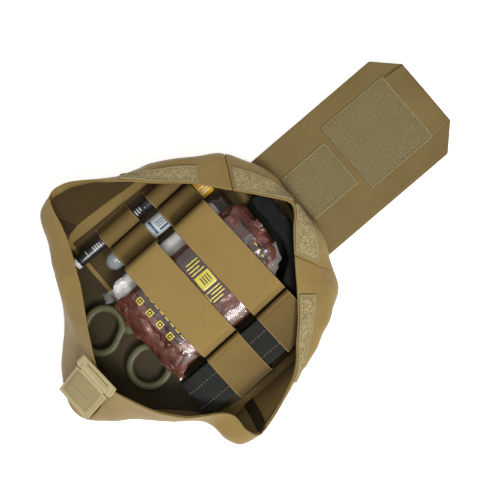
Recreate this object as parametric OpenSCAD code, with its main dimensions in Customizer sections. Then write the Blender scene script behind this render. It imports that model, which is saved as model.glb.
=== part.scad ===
// Horizontal trauma pouch, opened flat on its back: soft walls, a folding flap, a pull tab, an elastic
// organiser and the kit it holds (marker, needle case, gauze, bandage, tourniquet, shears, wrap).
// +X runs along the elastic bands, +Y points out along the flap, +Z is up, out of the mouth.
// The origin is the middle of the back, on the outer face of the middle webbing row.

/* [Shell] */
// Thickness of the wall fabric with its lining
wall_t = 1.4; // [1:0.2:2]
// Thickness of the back panel
panel_t = 2; // [1.6:0.2:2.4]
// Height of the rim along the front of the mouth
rim_h = 66; // [60:1:68]

/* [Flap] */
// Width of the flap
flap_w = 114; // [100:2:120]
// Distance from the flap's root hinge to its middle fold
flap_lower_l = 60; // [58:1:66]
// Distance from the flap's middle fold to its end
flap_upper_l = 100; // [90:1:110]
// Length of the chamfer at each end corner
flap_chamfer = 22; // [14:1:26]
// Side of the large square of hook tape
hook_large_w = 75; // [60:1:76]
// Width of the small rectangle of hook tape
hook_small_w = 50; // [38:1:52]
// Thickness of hook and loop tape
tape_t = 1.2; // [0.8:0.1:1.4]

/* [Back webbing] */
// Width of the rows and straps of webbing on the back
webbing_w = 25; // [20:1:26]
// Pitch of the webbing rows
row_pitch = 50; // [44:1:50]
// Distance between two bar tacks along a row
tack_pitch = 38; // [34:1:38]

/* [Organiser] */
// Width of the elastic bands
elastic_w = 38; // [34:1:40]
// Thickness of the elastic
elastic_t = 1.4; // [1:0.2:1.6]

/* [Contents] */
// Radius of the permanent marker
marker_r = 6.2; // [5.5:0.1:6.4]
// Length of the permanent marker
marker_l = 124; // [110:1:124]
// Radius of the needle case
case_r = 8.6; // [8:0.1:8.7]
// Radius of the rolled gauze
gauze_r = 10.5; // [9:0.5:10.5]
// Width of the tourniquet strap
strap_w = 38; // [34:1:38]
// Radius of the windlass rod
windlass_r = 4.6; // [4:0.1:5]
// Thickness of each shear blade
blade_t = 2; // [1.4:0.1:2.2]
// Thickness of the shear handles
handle_t = 9; // [7:0.5:9.5]

/* [Hidden] */
$fn = 48;

coyote = "#8a7245";
coyote_dark = "#6f5b36";
tape_tan = "#9c8860";
elastic_tan = "#a1834c";
webbing_black = "#202022";
olive = "#6d6b42";

// Heights of the stack on the back, from the ground up
row_t = 1.2;
back_strap_t = 1.2;
panel_z = row_t + back_strap_t + 0.2;
floor_z = panel_z + panel_t;
organiser_t = 1.6;
organiser_z = floor_z + organiser_t;

// Rings of the soft walls, clockwise from the apex of the mouth, seen from above.
// Each station gives the base, the belly, the lower edge of the hem and the rim.
base_ring = [
    [0, 134], [36, 132], [66, 121], [91, 107], [112, 66], [116, 30], [117, -17], [118, -44],
    [104, -53], [85, -68], [61, -94], [24, -139], [-8, -135], [-50, -98], [-74, -78],
    [-106, -56], [-118, -38], [-118, -6], [-115, 31], [-112, 64], [-92, 91], [-72, 117], [-36, 134]
];
belly_ring = [
    [0, 138, 22], [39, 137, 25], [72, 125, 27], [92, 111, 28], [114, 65, 30], [121, 30, 30],
    [128, -17, 28], [129, -47, 28], [105, -54, 28], [88, -70, 24], [65, -95, 22], [28, -142, 14],
    [-10, -138, 14], [-52, -99, 20], [-75, -81, 26], [-114, -61, 28], [-134, -44, 28],
    [-131, -7, 28], [-122, 31, 30], [-113, 64, 30], [-94, 92, 28], [-76, 117, 27], [-38, 139, 25]
];
hem_ring = [
    [0, 138, 34], [37, 132, 39], [60, 118, 42], [87, 104, 46], [111, 68, 48], [125, 32, 48],
    [137, -18, 46], [135, -43, 48], [104, -51, 48], [90, -65, 44], [66, -90, 44], [26, -119, 40],
    [-7, -116, 40], [-42, -92, 48], [-71, -78, 50], [-115, -57, 50], [-144, -43, 48],
    [-140, -6, 48], [-122, 30, 48], [-109, 59, 46], [-92, 88, 43], [-65, 112, 40], [-35, 132, 39]
];
rim_ring = [
    [0, 136, 49], [19, 120, 51], [37, 106, 52], [69, 82, 54], [95, 59, 58], [121, 32, 62],
    [138, -18, 62], [128, -29, 62], [107, -32, 62], [84, -63, 62], [55, -85, rim_h - 2],
    [15, -98, rim_h], [-7, -93, rim_h], [-41, -75, rim_h], [-73, -56, rim_h], [-111, -39, rim_h - 2],
    [-146, -29, 62], [-145, -6, 62], [-119, 28, 61], [-97, 51, 58], [-75, 76, 54], [-45, 102, 52],
    [-23, 120, 51]
];
stations = len(base_ring);
top_left_seam = -2;
top_right_seam = 2;
right_seam = 6;
front_right_seam = 11;
front_left_seam = 12;
left_seam = 16;
rings = [[for (p = base_ring) [p.x, p.y, floor_z]], belly_ring, hem_ring, rim_ring];

// Flap: its middle line along X, its hinge lines and the gaps that let it fold
flap_t = 1.6;
flap_z = panel_z + panel_t / 2;
flap_x = 1.4;
flap_root_y = 143;
flap_fold_y = flap_root_y + flap_lower_l;
flap_end_y = flap_fold_y + flap_upper_l;
fold_fixed_gap = 1.2;
fold_moving_gap = 0.3;

// Pull tab: a plate that lies along the front wall, leaning in by tab_lean from the vertical
tab_foot = [9, -140.7, 20.1];
tab_lean = 42;
tab_twist = 5;
tab_w = 38;
tab_l = 74;
tab_t = 1.4;

// Places of the contents
marker_x = -89.5;
marker_z = organiser_z + 0.4 + marker_r;
marker_y0 = -56;
case_x = -68;
case_cap_r = 9.8;
case_z = organiser_z + 0.4 + case_cap_r;
case_y0 = -34;
case_l = 110.3;
case_cap_l = 14;
gauze_x = -41.5;
wrapper_r = gauze_r + 1.2;
gauze_z = organiser_z + 0.6 + wrapper_r;
gauze_y0 = -36;
gauze_l = 116;
wrapper_tail = 11;
pack_bottom_z = 17;
pack_top_z = 50;
pack_y0 = -42;
pack_y1 = 92;
strap_x = 78.5;
strap_y0 = -52;
strap_y1 = 70;
strap_z0 = 8;
strap_h = 36;
strap_wrap_t = 3;
pivot = [5, -10];
blade_z = organiser_z + 2;
handle_z = organiser_z + 0.4;

// ---- Helpers ----

// Catmull-Rom blend of four points at t from 0 to 1
function blend4(a, b, c, d, t) =
    0.5 * (2 * b + (c - a) * t + (2 * a - 5 * b + 4 * c - d) * t * t + (3 * b - a - 3 * c + d) * t * t * t);

// Point of a closed ring at station u
function on_ring(ring, u) =
    let (w = (u + 2 * stations) % stations, i = floor(w))
    blend4(ring[(i + stations - 1) % stations], ring[i], ring[(i + 1) % stations],
           ring[(i + 2) % stations], w - i);

// Point of the wall's outer face at station u and level v, 0 at the base and 3 at the rim
function wall_point(u, v) =
    let (c = [for (r = rings) on_ring(r, u)], k = min(2, floor(v)), f = v - k)
    k == 0 ? blend4(2 * c[0] - c[1], c[0], c[1], c[2], f)
    : k == 1 ? blend4(c[0], c[1], c[2], c[3], f)
    : blend4(c[1], c[2], c[3], 2 * c[3] - c[2], f);

// Outward unit normal of the wall, kept level at the base so that the base stays flat
function wall_normal(u, v) =
    let (e = 0.05,
         du = wall_point(u + e, v) - wall_point(u - e, v),
         dv = wall_point(u, min(3, v + e)) - wall_point(u, max(0, v - e)),
         n = cross(dv, du),
         flat_n = v == 0 ? [n.x, n.y, 0] : n)
    flat_n / norm(flat_n);

// Closed sheet between two stations and two levels, lying from depth d0 to d1 outside the wall face
module wall_sheet(u0, u1, v0, v1, nu, nv, d0, d1) {
    us = [for (i = [0:nu]) u0 + (u1 - u0) * i / nu];
    vs = [for (j = [0:nv]) v0 + (v1 - v0) * j / nv];
    grid = [for (u = us) for (v = vs) [wall_point(u, v), wall_normal(u, v)]];
    count = len(grid);
    points = concat([for (g = grid) g[0] + g[1] * d1], [for (g = grid) g[0] + g[1] * d0]);
    row = nv + 1;
    outer = [for (i = [0:nu - 1]) for (j = [0:nv - 1])
        let (a = i * row + j, b = a + row, c = b + 1, d = a + 1) each [[a, b, c], [a, c, d]]];
    inner = [for (f = outer) [f[2] + count, f[1] + count, f[0] + count]];
    border = concat([for (i = [0:nu - 1]) i * row], [for (j = [0:nv - 1]) nu * row + j],
                    [for (i = [nu:-1:1]) i * row + nv], [for (j = [nv:-1:1]) j]);
    sides = [for (k = [0:len(border) - 1])
        let (a = border[k], b = border[(k + 1) % len(border)])
        each [[b, a, a + count], [b, a + count, b + count]]];
    polyhedron(points, concat(outer, inner, sides));
}

module wall_panel(u0, u1) {
    color(coyote) wall_sheet(u0, u1, 0, 2, 3 * (u1 - u0), 5, -wall_t, 0);
}

module hem_panel(u0, u1) {
    color(coyote_dark) wall_sheet(u0, u1, 2, 3, 3 * (u1 - u0), 2, -wall_t, 0);
}

// Loop tape on the outside of the walls, clear of the fabric below it
module loop_patch(u0, u1, v0, v1) {
    lift = 0.8;
    color(tape_tan) wall_sheet(u0, u1, v0, v1, 8, 2, lift, lift + tape_t);
}

// Ribbon of thickness t along an open line of points, as an outline in the plane
function ribbon(line, t) =
    let (last = len(line) - 1,
         side = [for (i = [0:last])
             let (d = line[min(last, i + 1)] - line[max(0, i - 1)]) [-d.y, d.x] / norm(d) * t / 2])
    concat([for (i = [0:last]) line[i] + side[i]], [for (i = [last:-1:0]) line[i] - side[i]]);

// Stands a profile drawn in X and Z up and runs it along Y from y0 to y1
module along_y(y0, y1) {
    translate([0, y1, 0]) rotate([90, 0, 0]) linear_extrude(y1 - y0) children();
}

// Round piece with its axis along Y, its profile drawn as radius and distance from y0
module turned_y(x, y0, z) {
    translate([x, y0, z]) rotate([-90, 0, 0]) rotate_extrude() children();
}

// ---- Back ----

module back_panel() {
    outline = [for (k = [0:stations * 3 - 1]) on_ring(base_ring, k / 3)];
    root_y = 90;
    color(coyote) translate([0, 0, panel_z]) union() {
        linear_extrude(panel_t) polygon(outline);
        translate([flap_x - flap_w / 2, root_y, 0])
            cube([flap_w, flap_root_y - fold_fixed_gap - root_y, panel_t]);
    }
}

module webbing_row(y) {
    tack_w = 3;
    row_l = 5 * tack_pitch + 2 * tack_w;
    color(coyote_dark) union() {
        translate([-row_l / 2, y - webbing_w / 2, 0]) cube([row_l, webbing_w, row_t]);
        for (i = [-2.5:1:2.5])
            translate([i * tack_pitch - tack_w / 2, y - webbing_w / 2, row_t])
                cube([tack_w, webbing_w, panel_z - row_t]);
    }
}

module back_strap(side) {
    strap_half_l = 84;
    box_stitch_l = 14;
    color(coyote_dark) translate([side * tack_pitch - webbing_w / 2, 0, 0]) union() {
        translate([0, -strap_half_l, row_t + 0.1]) cube([webbing_w, 2 * strap_half_l, back_strap_t]);
        translate([0, strap_half_l - box_stitch_l, row_t + 0.1])
            cube([webbing_w, box_stitch_l, panel_z - row_t - 0.1]);
    }
}

module strap_snaps() {
    color("#3a3a38") for (side = [-1, 1]) translate([side * tack_pitch, -76, 0.2]) union() {
        cylinder(r = 6.5, h = 0.5);
        cylinder(r = 4.5, h = row_t - 0.1);
    }
}

// ---- Organiser ----

module organiser_panel() {
    color(coyote) translate([0, 0, floor_z]) linear_extrude(organiser_t)
        polygon([[-107, -46], [104, -46], [109, -20], [107, 40], [101, 76], [86, 95], [-62, 95],
                 [-80, 88], [-104, 56]]);
}

// Side view of an elastic band: down to the panel at every sewn line, over each thing it holds
function elastic_line(foot, start, end) = concat(
    [[start, foot], [start + 3, foot]],
    [for (a = [200:-20:-20]) [marker_x + (marker_r + 2) * cos(a), marker_z + (marker_r + 2) * sin(a)]],
    [[-81, foot], [-79.2, foot]],
    [for (a = [180:-20:0]) [case_x + (case_r + 2) * cos(a), case_z + (case_r + 2) * sin(a)]],
    [[-57.2, foot], [-55.6, foot], [-55.2, 20], [-55.2, 42], [-53.8, 48.6], [-49, 52], [-30, 52.6],
     [30, 52.6], [46, 51.8], [52, 48], [54, 40], [54.2, 20], [54.4, foot], [56.6, foot], [57, 20],
     [57.2, 40], [57.8, 45], [60.4, 47], [95, 47], [98.8, 45.4]],
    [[end - 4.4, 38], [end - 3.6, 20], [end - 3.2, foot], [end, foot]]);

module elastic_band(y, tilt, start, end) {
    foot = organiser_z + elastic_t / 2 + 0.05;
    color(elastic_tan) translate([0, y, 0]) rotate([0, 0, tilt]) along_y(-elastic_w / 2, elastic_w / 2)
        polygon(ribbon(elastic_line(foot, start, end), elastic_t));
}

// ---- Flap ----

module flap_lower() {
    color(coyote) translate([flap_x - flap_w / 2, flap_root_y + fold_moving_gap, flap_z - flap_t / 2])
        cube([flap_w, flap_lower_l - fold_moving_gap - fold_fixed_gap, flap_t]);
}

module flap_upper() {
    start = flap_fold_y + fold_moving_gap;
    half = flap_w / 2;
    color(coyote) translate([flap_x, 0, flap_z - flap_t / 2]) linear_extrude(flap_t)
        polygon([[-half, start], [half, start], [half, flap_end_y - flap_chamfer],
                 [half - flap_chamfer, flap_end_y], [flap_chamfer - half, flap_end_y],
                 [-half, flap_end_y - flap_chamfer]]);
}

module hook_panel(w, y0, y1) {
    color(tape_tan) translate([-w / 2, y0, flap_z + flap_t / 2]) cube([w, y1 - y0, tape_t]);
}

module flap_pull_strip() {
    strip_w = 66;
    color(coyote_dark) translate([flap_x - strip_w / 2, flap_end_y - flap_chamfer + 0.4, flap_z + flap_t / 2])
        cube([strip_w, flap_chamfer - 0.4, 0.8]);
}

// ---- Pull tab ----

// Puts a flat outline drawn around the tab's foot into the tab's place, from depth z0 up to z1
module on_tab(z0, z1) {
    translate(tab_foot) rotate([90 - tab_lean, 0, 0]) rotate([0, 0, tab_twist])
        translate([0, 0, z0]) linear_extrude(z1 - z0) children();
}

module tab_strap() {
    color(coyote) on_tab(0, tab_t) translate([-tab_w / 2, 1]) square([tab_w, 55]);
}

module tab_grip() {
    grip_w = 44;
    slot = [27, 3.2];
    color("#b3a27a") on_tab(0, tab_t) difference() {
        polygon([[-tab_w / 2, 56], [tab_w / 2, 56], [grip_w / 2, 60], [grip_w / 2 - 1, tab_l],
                 [1 - grip_w / 2, tab_l], [-grip_w / 2, 60]]);
        translate([-slot.x / 2, tab_l - 7]) square(slot);
    }
}

module tab_hook_patch() {
    color(tape_tan) on_tab(tab_t, tab_t + tape_t) translate([-16, 8]) square([30, 44]);
}

// ---- Marker ----

module marker_barrel() {
    bore_r = marker_r - 1;
    color("#1c1c1e") turned_y(marker_x, marker_y0, marker_z)
        polygon([[bore_r, 4], [marker_r, 4], [marker_r, 84], [marker_r - 0.9, 85], [marker_r - 0.9, 92],
                 [3, 93], [3, 90], [bore_r, 88]]);
}

module marker_cap() {
    inner_r = marker_r - 0.85;
    color("#161618") turned_y(marker_x, marker_y0, marker_z)
        polygon([[inner_r, 85.3], [marker_r, 85.3], [marker_r, marker_l - 3], [marker_r - 1.4, marker_l],
                 [0, marker_l], [0, marker_l - 2], [inner_r - 0.8, marker_l - 3], [inner_r, 93]]);
}

module marker_end_plug() {
    color("#e9e9e4") turned_y(marker_x, marker_y0, marker_z) union() {
        polygon([[0, 0], [marker_r - 0.9, 0], [marker_r - 0.3, 0.6], [marker_r - 0.3, 4], [0, 4]]);
        square([marker_r - 1.05, 9]);
    }
}

module marker_nib() {
    color("#26262a") turned_y(marker_x, marker_y0, marker_z)
        polygon([[0, 86], [2.4, 86], [2.4, 97], [0.8, 103], [0, 103]]);
}

module marker_reservoir() {
    color("#d8d8d2") turned_y(marker_x, marker_y0, marker_z) translate([0, 9.4])
        square([marker_r - 1.3, 76]);
}

// ---- Needle case ----

module needle_case_tube() {
    wall = 1.1;
    color([0.85, 0.9, 0.92, 0.4]) turned_y(case_x, case_y0, case_z) difference() {
        union() {
            intersection() {
                translate([0, case_r]) circle(r = case_r);
                translate([0, 0]) square([case_r, case_r]);
            }
            translate([0, case_r]) square([case_r, case_l - case_r]);
        }
        intersection() {
            translate([0, case_r]) circle(r = case_r - wall);
            square([case_r, case_r]);
        }
        translate([0, case_r]) square([case_r - wall, case_l]);
    }
}

module needle_case_cap() {
    ridges = 24;
    color("#d9b13a") translate([case_x, case_y0 + case_l + case_cap_l, case_z]) rotate([90, 0, 0])
        union() {
            linear_extrude(case_cap_l - 0.3) difference() {
                circle(r = case_cap_r - 0.5);
                circle(r = case_r - 2.4);
            }
            linear_extrude(2) circle(r = case_r);
            for (k = [0:ridges - 1]) rotate([0, 0, k * 360 / ridges])
                translate([case_cap_r - 0.8, -0.5, 1]) cube([0.8, 1, case_cap_l - 2.3]);
        }
}

module needle_hub() {
    color("#e8dcc0") turned_y(case_x, case_y0, case_z)
        polygon([[0, 78], [2.2, 78], [4.2, 82], [4.2, 96], [6, 97], [6, 99], [0, 99]]);
}

module needle_cannula() {
    color("#c8ccd0") turned_y(case_x, case_y0, case_z) polygon([[0, 5], [1.1, 8], [1.1, 78], [0, 78]]);
}

module needle_label() {
    color("#e6e6e0") turned_y(case_x, case_y0, case_z) translate([case_r + 0.02, 28]) square([0.25, 52]);
}

// ---- Gauze ----

module gauze_roll() {
    color("#f0efe9") turned_y(gauze_x, gauze_y0, gauze_z)
        polygon([[0, 3], [1.5, 0], [gauze_r - 1.5, 0], [gauze_r, 2], [gauze_r, gauze_l - 2],
                 [gauze_r - 1.5, gauze_l], [1.5, gauze_l], [0, gauze_l - 3]]);
}

module gauze_wrapper() {
    film = 0.6;
    r = wrapper_r;
    color([0.9, 0.92, 0.93, 0.4]) turned_y(gauze_x, gauze_y0, gauze_z) difference() {
        polygon([[0, -wrapper_tail], [6, -wrapper_tail], [4, -6], [r - 2, -3], [r, 1], [r, gauze_l - 1],
                 [r - 2, gauze_l + 3], [4, gauze_l + 6], [7, gauze_l + wrapper_tail],
                 [0, gauze_l + wrapper_tail]]);
        polygon([[0, -1], [r - 2 - film, -1], [r - film, 1.4], [r - film, gauze_l - 1.4],
                 [r - 2 - film, gauze_l + 1], [0, gauze_l + 1]]);
    }
}

// ---- Bandage ----

// Vacuum pack, full in the middle and drawn down to a flat seal at both ends
module pack_form(inset) {
    mid = [[-23.5, 17], [48, 17], [52, 28], [50, 44], [40, 50], [-28, 50], [-38, 44], [-37, 36]];
    middle = [8, 33];
    shrink = 1 - inset / 20;
    end_l = 10 - inset;
    hull() {
        along_y(pack_y0, pack_y1)
            polygon([for (p = mid) middle + [(p.x - middle.x) * shrink, (p.y - middle.y) * shrink]]);
        along_y(pack_y0 - end_l, pack_y1 + end_l)
            translate([-30 + inset, 28]) square([72 - 2 * inset, 5 - inset]);
    }
}

module bandage_foil() {
    color("#4a2723") difference() {
        pack_form(0);
        pack_form(1);
    }
}

module bandage_dressing() {
    color("#ddd3bd") translate([-20, pack_y0 + 6, pack_bottom_z + 5])
        cube([56, pack_y1 - pack_y0 - 12, pack_top_z - pack_bottom_z - 11]);
}

// ---- Tourniquet, folded flat for storage ----

// Flat loop seen from the side: straight runs with round ends, inset from the strap's outer face
module strap_loop(inset) {
    r = strap_h / 2 - inset;
    for (y = [strap_y0 + strap_h / 2, strap_y1 - strap_h / 2])
        translate([y, strap_z0 + strap_h / 2]) circle(r = r);
    translate([strap_y0 + strap_h / 2, strap_z0 + inset])
        square([strap_y1 - strap_y0 - strap_h, 2 * r]);
}

// Turns a side view, drawn as Y and Z, into a piece between two X positions
module across_x(x0, x1) {
    translate([x0, 0, 0]) rotate([90, 0, 90]) linear_extrude(x1 - x0) children();
}

module tourniquet_strap() {
    color(webbing_black) across_x(strap_x - strap_w / 2, strap_x + strap_w / 2) difference() {
        strap_loop(0);
        strap_loop(strap_wrap_t);
    }
}

module tourniquet_plate() {
    color("#26272a") translate([strap_x - 17, strap_y0 + 18, strap_z0 + strap_wrap_t + 0.2])
        cube([34, 86, 2.4]);
}

module tourniquet_windlass() {
    rod_y0 = strap_y0 + 14;
    rod_l = 96;
    rod_z = strap_z0 + strap_wrap_t + 12;
    color("#1b1b1d") turned_y(strap_x, rod_y0, rod_z) {
        polygon([[0, 0], [windlass_r - 1, 0], [windlass_r, 2], [windlass_r, rod_l - 2],
                 [windlass_r - 1, rod_l], [0, rod_l]]);
    }
}

module tourniquet_clip() {
    clip_z = strap_z0 + strap_wrap_t + 2.6;
    wall = 3;
    inner = windlass_r + 0.5;
    color("#2b2c2f") translate([strap_x, strap_y0 + 26, clip_z]) rotate([90, 0, 0]) translate([0, 0, -22])
        linear_extrude(22) difference() {
            translate([-inner - wall, 0]) square([2 * (inner + wall), 15]);
            translate([-inner, 4.2]) square([2 * inner, 20]);
        }
}

module tourniquet_buckle() {
    y = strap_y1 - 36;
    z = strap_z0 + strap_h - strap_wrap_t - 4;
    color("#232426") translate([strap_x - 19, y, z]) difference() {
        cube([38, 16, 4]);
        translate([4, 3.5, -1]) cube([30, 3.2, 6]);
        translate([4, 9.3, -1]) cube([30, 3.2, 6]);
    }
}

module tourniquet_keeper() {
    clip_top_z = strap_z0 + strap_wrap_t + 2.6 + 15;
    color("#b9bab4") translate([strap_x - 15, strap_y0 + 26, clip_top_z]) cube([30, 22, 1.2]);
}

// ---- Shears ----

// One blade with its tang, as the outline drawn from the pivot
module shear_blade(level, mirror_x) {
    color("#b9bcc0") translate([pivot.x, pivot.y, blade_z + level]) linear_extrude(blade_t) difference() {
        mirror([mirror_x, 0])
            polygon([[-13, -38], [-2, -38], [2, -15], [8, 0], [7, 14], [1, 92], [-2, 97], [-7, 86],
                     [-7.5, 14], [-8, 0], [-5, -12]]);
        circle(r = 2.6);
    }
}

// Finger loop with the arm that carries it, around a slot for the blade's tang
module shear_handle(center, outer, slant, level) {
    side = sign(center.x);
    ring_w = 7.4;
    color(olive) translate([0, 0, handle_z]) difference() {
        linear_extrude(handle_t) union() {
            translate(center) rotate(slant) difference() {
                finger_oval(outer.x / 2, outer.y);
                finger_oval(outer.x / 2 - ring_w, outer.y - 2 * ring_w);
            }
            hull() {
                translate(center + [-side * outer.x * 0.36, outer.y * 0.36]) circle(r = 5.5);
                translate(pivot + [side * 6.6, -28]) circle(r = 6);
            }
        }
        translate([0, 0, blade_z - handle_z + level - 0.1]) linear_extrude(blade_t + 0.2)
            translate(pivot) mirror([side > 0 ? 1 : 0, 0])
                polygon([[-5.4, -10], [8, -10], [-1.4, -38.4], [-13.6, -38.4]]);
    }
}

// Oval of half width r and full length l along Y
module finger_oval(r, l) {
    hull() for (s = [-1, 1]) translate([0, s * (l / 2 - r)]) circle(r = r, $fn = 40);
}

module shear_pivot() {
    color("#8d9094") translate([pivot.x, pivot.y, blade_z - 0.8]) union() {
        cylinder(r = 2.55, h = 2 * blade_t + 1.8);
        cylinder(r = 4.6, h = 0.7);
        translate([0, 0, 2 * blade_t + 1.1]) cylinder(r = 4.6, h = 0.7);
    }
}

// ---- Black wrap in the top of the pouch ----

module elastic_wrap() {
    color(webbing_black) translate([0, 0, organiser_z + 0.4]) linear_extrude(30)
        polygon([[-32, 106], [52, 106], [57, 84], [72, 82], [76, 98], [62, 113], [50, 119], [38, 125],
                 [-24, 126], [-32, 117]]);
}

back_panel();
webbing_row(row_pitch);  // back_webbing_upper
webbing_row(0);  // back_webbing_middle
webbing_row(-row_pitch);  // back_webbing_lower
back_strap(-1);  // back_strap_left
back_strap(1);  // back_strap_right
strap_snaps();
wall_panel(top_left_seam, top_right_seam);  // wall_top
wall_panel(top_right_seam, right_seam);  // wall_right
wall_panel(right_seam, front_right_seam);  // wall_front_right
wall_panel(front_right_seam, front_left_seam);  // wall_front
wall_panel(front_left_seam, left_seam);  // wall_front_left
wall_panel(left_seam, stations + top_left_seam);  // wall_left
hem_panel(top_left_seam, top_right_seam);  // hem_top
hem_panel(top_right_seam, right_seam);  // hem_right
hem_panel(right_seam, front_right_seam);  // hem_front_right
hem_panel(front_right_seam, left_seam);  // hem_front_left
hem_panel(left_seam, stations + top_left_seam);  // hem_left
loop_patch(-1.9, -0.1, 2.1, 2.95);  // loop_patch_top_left
loop_patch(0.1, 1.9, 2.1, 2.95);  // loop_patch_top_right
loop_patch(18.1, 20.2, 2.35, 2.95);  // loop_patch_left
loop_patch(2.9, 5, 2.5, 2.95);  // loop_patch_right
organiser_panel();
elastic_band(59, 2.5, -102.5, 104.5);  // elastic_band_upper
elastic_band(0.5, 1.5, -104, 108);  // elastic_band_lower
flap_lower();
flap_upper();
hook_panel(hook_small_w, flap_root_y + 1, flap_fold_y - 5);  // hook_panel_small
hook_panel(hook_large_w, flap_fold_y + 2, flap_end_y - flap_chamfer);  // hook_panel_large
flap_pull_strip();
tab_strap();
tab_grip();
tab_hook_patch();
marker_barrel();
marker_cap();
marker_end_plug();
marker_nib();
marker_reservoir();
needle_case_tube();
needle_case_cap();
needle_hub();
needle_cannula();
needle_label();
gauze_roll();
gauze_wrapper();
bandage_foil();
bandage_dressing();
tourniquet_strap();
tourniquet_plate();
tourniquet_windlass();
tourniquet_clip();
tourniquet_buckle();
tourniquet_keeper();
shear_blade(0, 0);  // shear_blade_left
shear_blade(blade_t + 0.1, 1);  // shear_blade_right
shear_handle([-26, -77.5], [41, 51], 24, 0);  // shear_handle_left
shear_handle([28.5, -65], [44, 46], 10, blade_t + 0.1);  // shear_handle_right
shear_pivot();
elastic_wrap();
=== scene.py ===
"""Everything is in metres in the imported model's frame: +X along the elastic bands, +Y out along the flap,
+Z up out of the mouth. Soft pieces stand for the plain CAD solids of the same name.
"""

import math

import bmesh
import bpy
import numpy as np
from mathutils import Matrix, Vector, noise


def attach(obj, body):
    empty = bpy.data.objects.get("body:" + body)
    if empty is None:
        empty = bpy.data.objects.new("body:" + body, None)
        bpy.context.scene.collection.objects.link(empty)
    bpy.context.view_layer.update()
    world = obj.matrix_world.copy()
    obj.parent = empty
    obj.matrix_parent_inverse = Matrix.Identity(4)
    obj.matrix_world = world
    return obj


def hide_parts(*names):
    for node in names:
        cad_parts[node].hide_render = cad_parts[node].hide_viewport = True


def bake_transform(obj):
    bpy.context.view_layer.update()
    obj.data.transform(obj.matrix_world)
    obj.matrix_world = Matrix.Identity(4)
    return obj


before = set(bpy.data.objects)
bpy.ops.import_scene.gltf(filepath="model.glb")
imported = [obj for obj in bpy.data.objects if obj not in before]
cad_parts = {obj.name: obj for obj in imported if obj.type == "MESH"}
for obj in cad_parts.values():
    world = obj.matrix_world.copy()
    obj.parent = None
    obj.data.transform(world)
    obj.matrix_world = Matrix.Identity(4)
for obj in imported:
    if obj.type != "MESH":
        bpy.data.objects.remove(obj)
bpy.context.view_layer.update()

MM = 0.001
scene = bpy.context.scene
rng = np.random.default_rng(7)

# ---- Wall rings, as in the CAD source: base, belly, lower edge of the hem, rim ----

FLOOR_Z = 4.6
ORGANISER_Z = 6.2
BASE = [
    (0, 134), (36, 132), (66, 121), (91, 107), (112, 66), (116, 30), (117, -17), (118, -44),
    (104, -53), (85, -68), (61, -94), (24, -139), (-8, -135), (-50, -98), (-74, -78),
    (-106, -56), (-118, -38), (-118, -6), (-115, 31), (-112, 64), (-92, 91), (-72, 117), (-36, 134),
]
BELLY = [
    (0, 138, 22), (39, 137, 25), (72, 125, 27), (92, 111, 28), (114, 65, 30), (121, 30, 30),
    (128, -17, 28), (129, -47, 28), (105, -54, 28), (88, -70, 24), (65, -95, 22), (28, -142, 14),
    (-10, -138, 14), (-52, -99, 20), (-75, -81, 26), (-114, -61, 28), (-134, -44, 28),
    (-131, -7, 28), (-122, 31, 30), (-113, 64, 30), (-94, 92, 28), (-76, 117, 27), (-38, 139, 25),
]
HEM = [
    (0, 138, 34), (37, 132, 39), (60, 118, 42), (87, 104, 46), (111, 68, 48), (125, 32, 48),
    (137, -18, 46), (135, -43, 48), (104, -51, 48), (90, -65, 44), (66, -90, 44), (26, -119, 40),
    (-7, -116, 40), (-42, -92, 48), (-71, -78, 50), (-115, -57, 50), (-144, -43, 48),
    (-140, -6, 48), (-122, 30, 48), (-109, 59, 46), (-92, 88, 43), (-65, 112, 40), (-35, 132, 39),
]
RIM = [
    (0, 136, 49), (19, 120, 51), (37, 106, 52), (69, 82, 54), (95, 59, 58), (121, 32, 62),
    (138, -18, 62), (128, -29, 62), (107, -32, 62), (84, -63, 62), (55, -85, 64),
    (15, -98, 66), (-7, -93, 66), (-41, -75, 66), (-73, -56, 66), (-111, -39, 64),
    (-146, -29, 62), (-145, -6, 62), (-119, 28, 61), (-97, 51, 58), (-75, 76, 54), (-45, 102, 52),
    (-23, 120, 51),
]
RINGS = np.array([[(x, y, FLOOR_Z) for x, y in BASE], BELLY, HEM, RIM], float) * MM
STATIONS = RINGS.shape[1]


# ---- Curves and surfaces ----

def unit(v):
    """Vectors of length one along the last axis."""
    v = np.asarray(v, float)
    return v / np.maximum(np.linalg.norm(v, axis=-1, keepdims=True), 1e-9)


def xyz(x, y, z=0.0):
    """Points from coordinates that are arrays or single numbers."""
    return np.stack(np.broadcast_arrays(x, y, z), -1).astype(float)


def lattice(xs, ys):
    """Grids of x and y, with one row for each x."""
    return np.meshgrid(xs, ys, indexing="ij")


def circle_angles(n):
    return np.linspace(0, 2 * math.pi, n, endpoint=False)


def arc(x, y, radius, degrees):
    """Points of an arc as a list of pairs."""
    return [(x + radius * math.cos(a), y + radius * math.sin(a)) for a in np.radians(degrees)]


def run_length(line):
    """Distance along a line at each of its points."""
    return np.r_[0, np.cumsum(np.linalg.norm(np.diff(line, axis=0), axis=1))]


def blend4(a, b, c, d, t):
    """Catmull-Rom blend of four points, or arrays of points, at t from 0 to 1."""
    square, cube = 2 * a - 5 * b + 4 * c - d, 3 * b - a - 3 * c + d
    return 0.5 * (2 * b + (c - a) * t + square * t ** 2 + cube * t ** 3)


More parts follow.
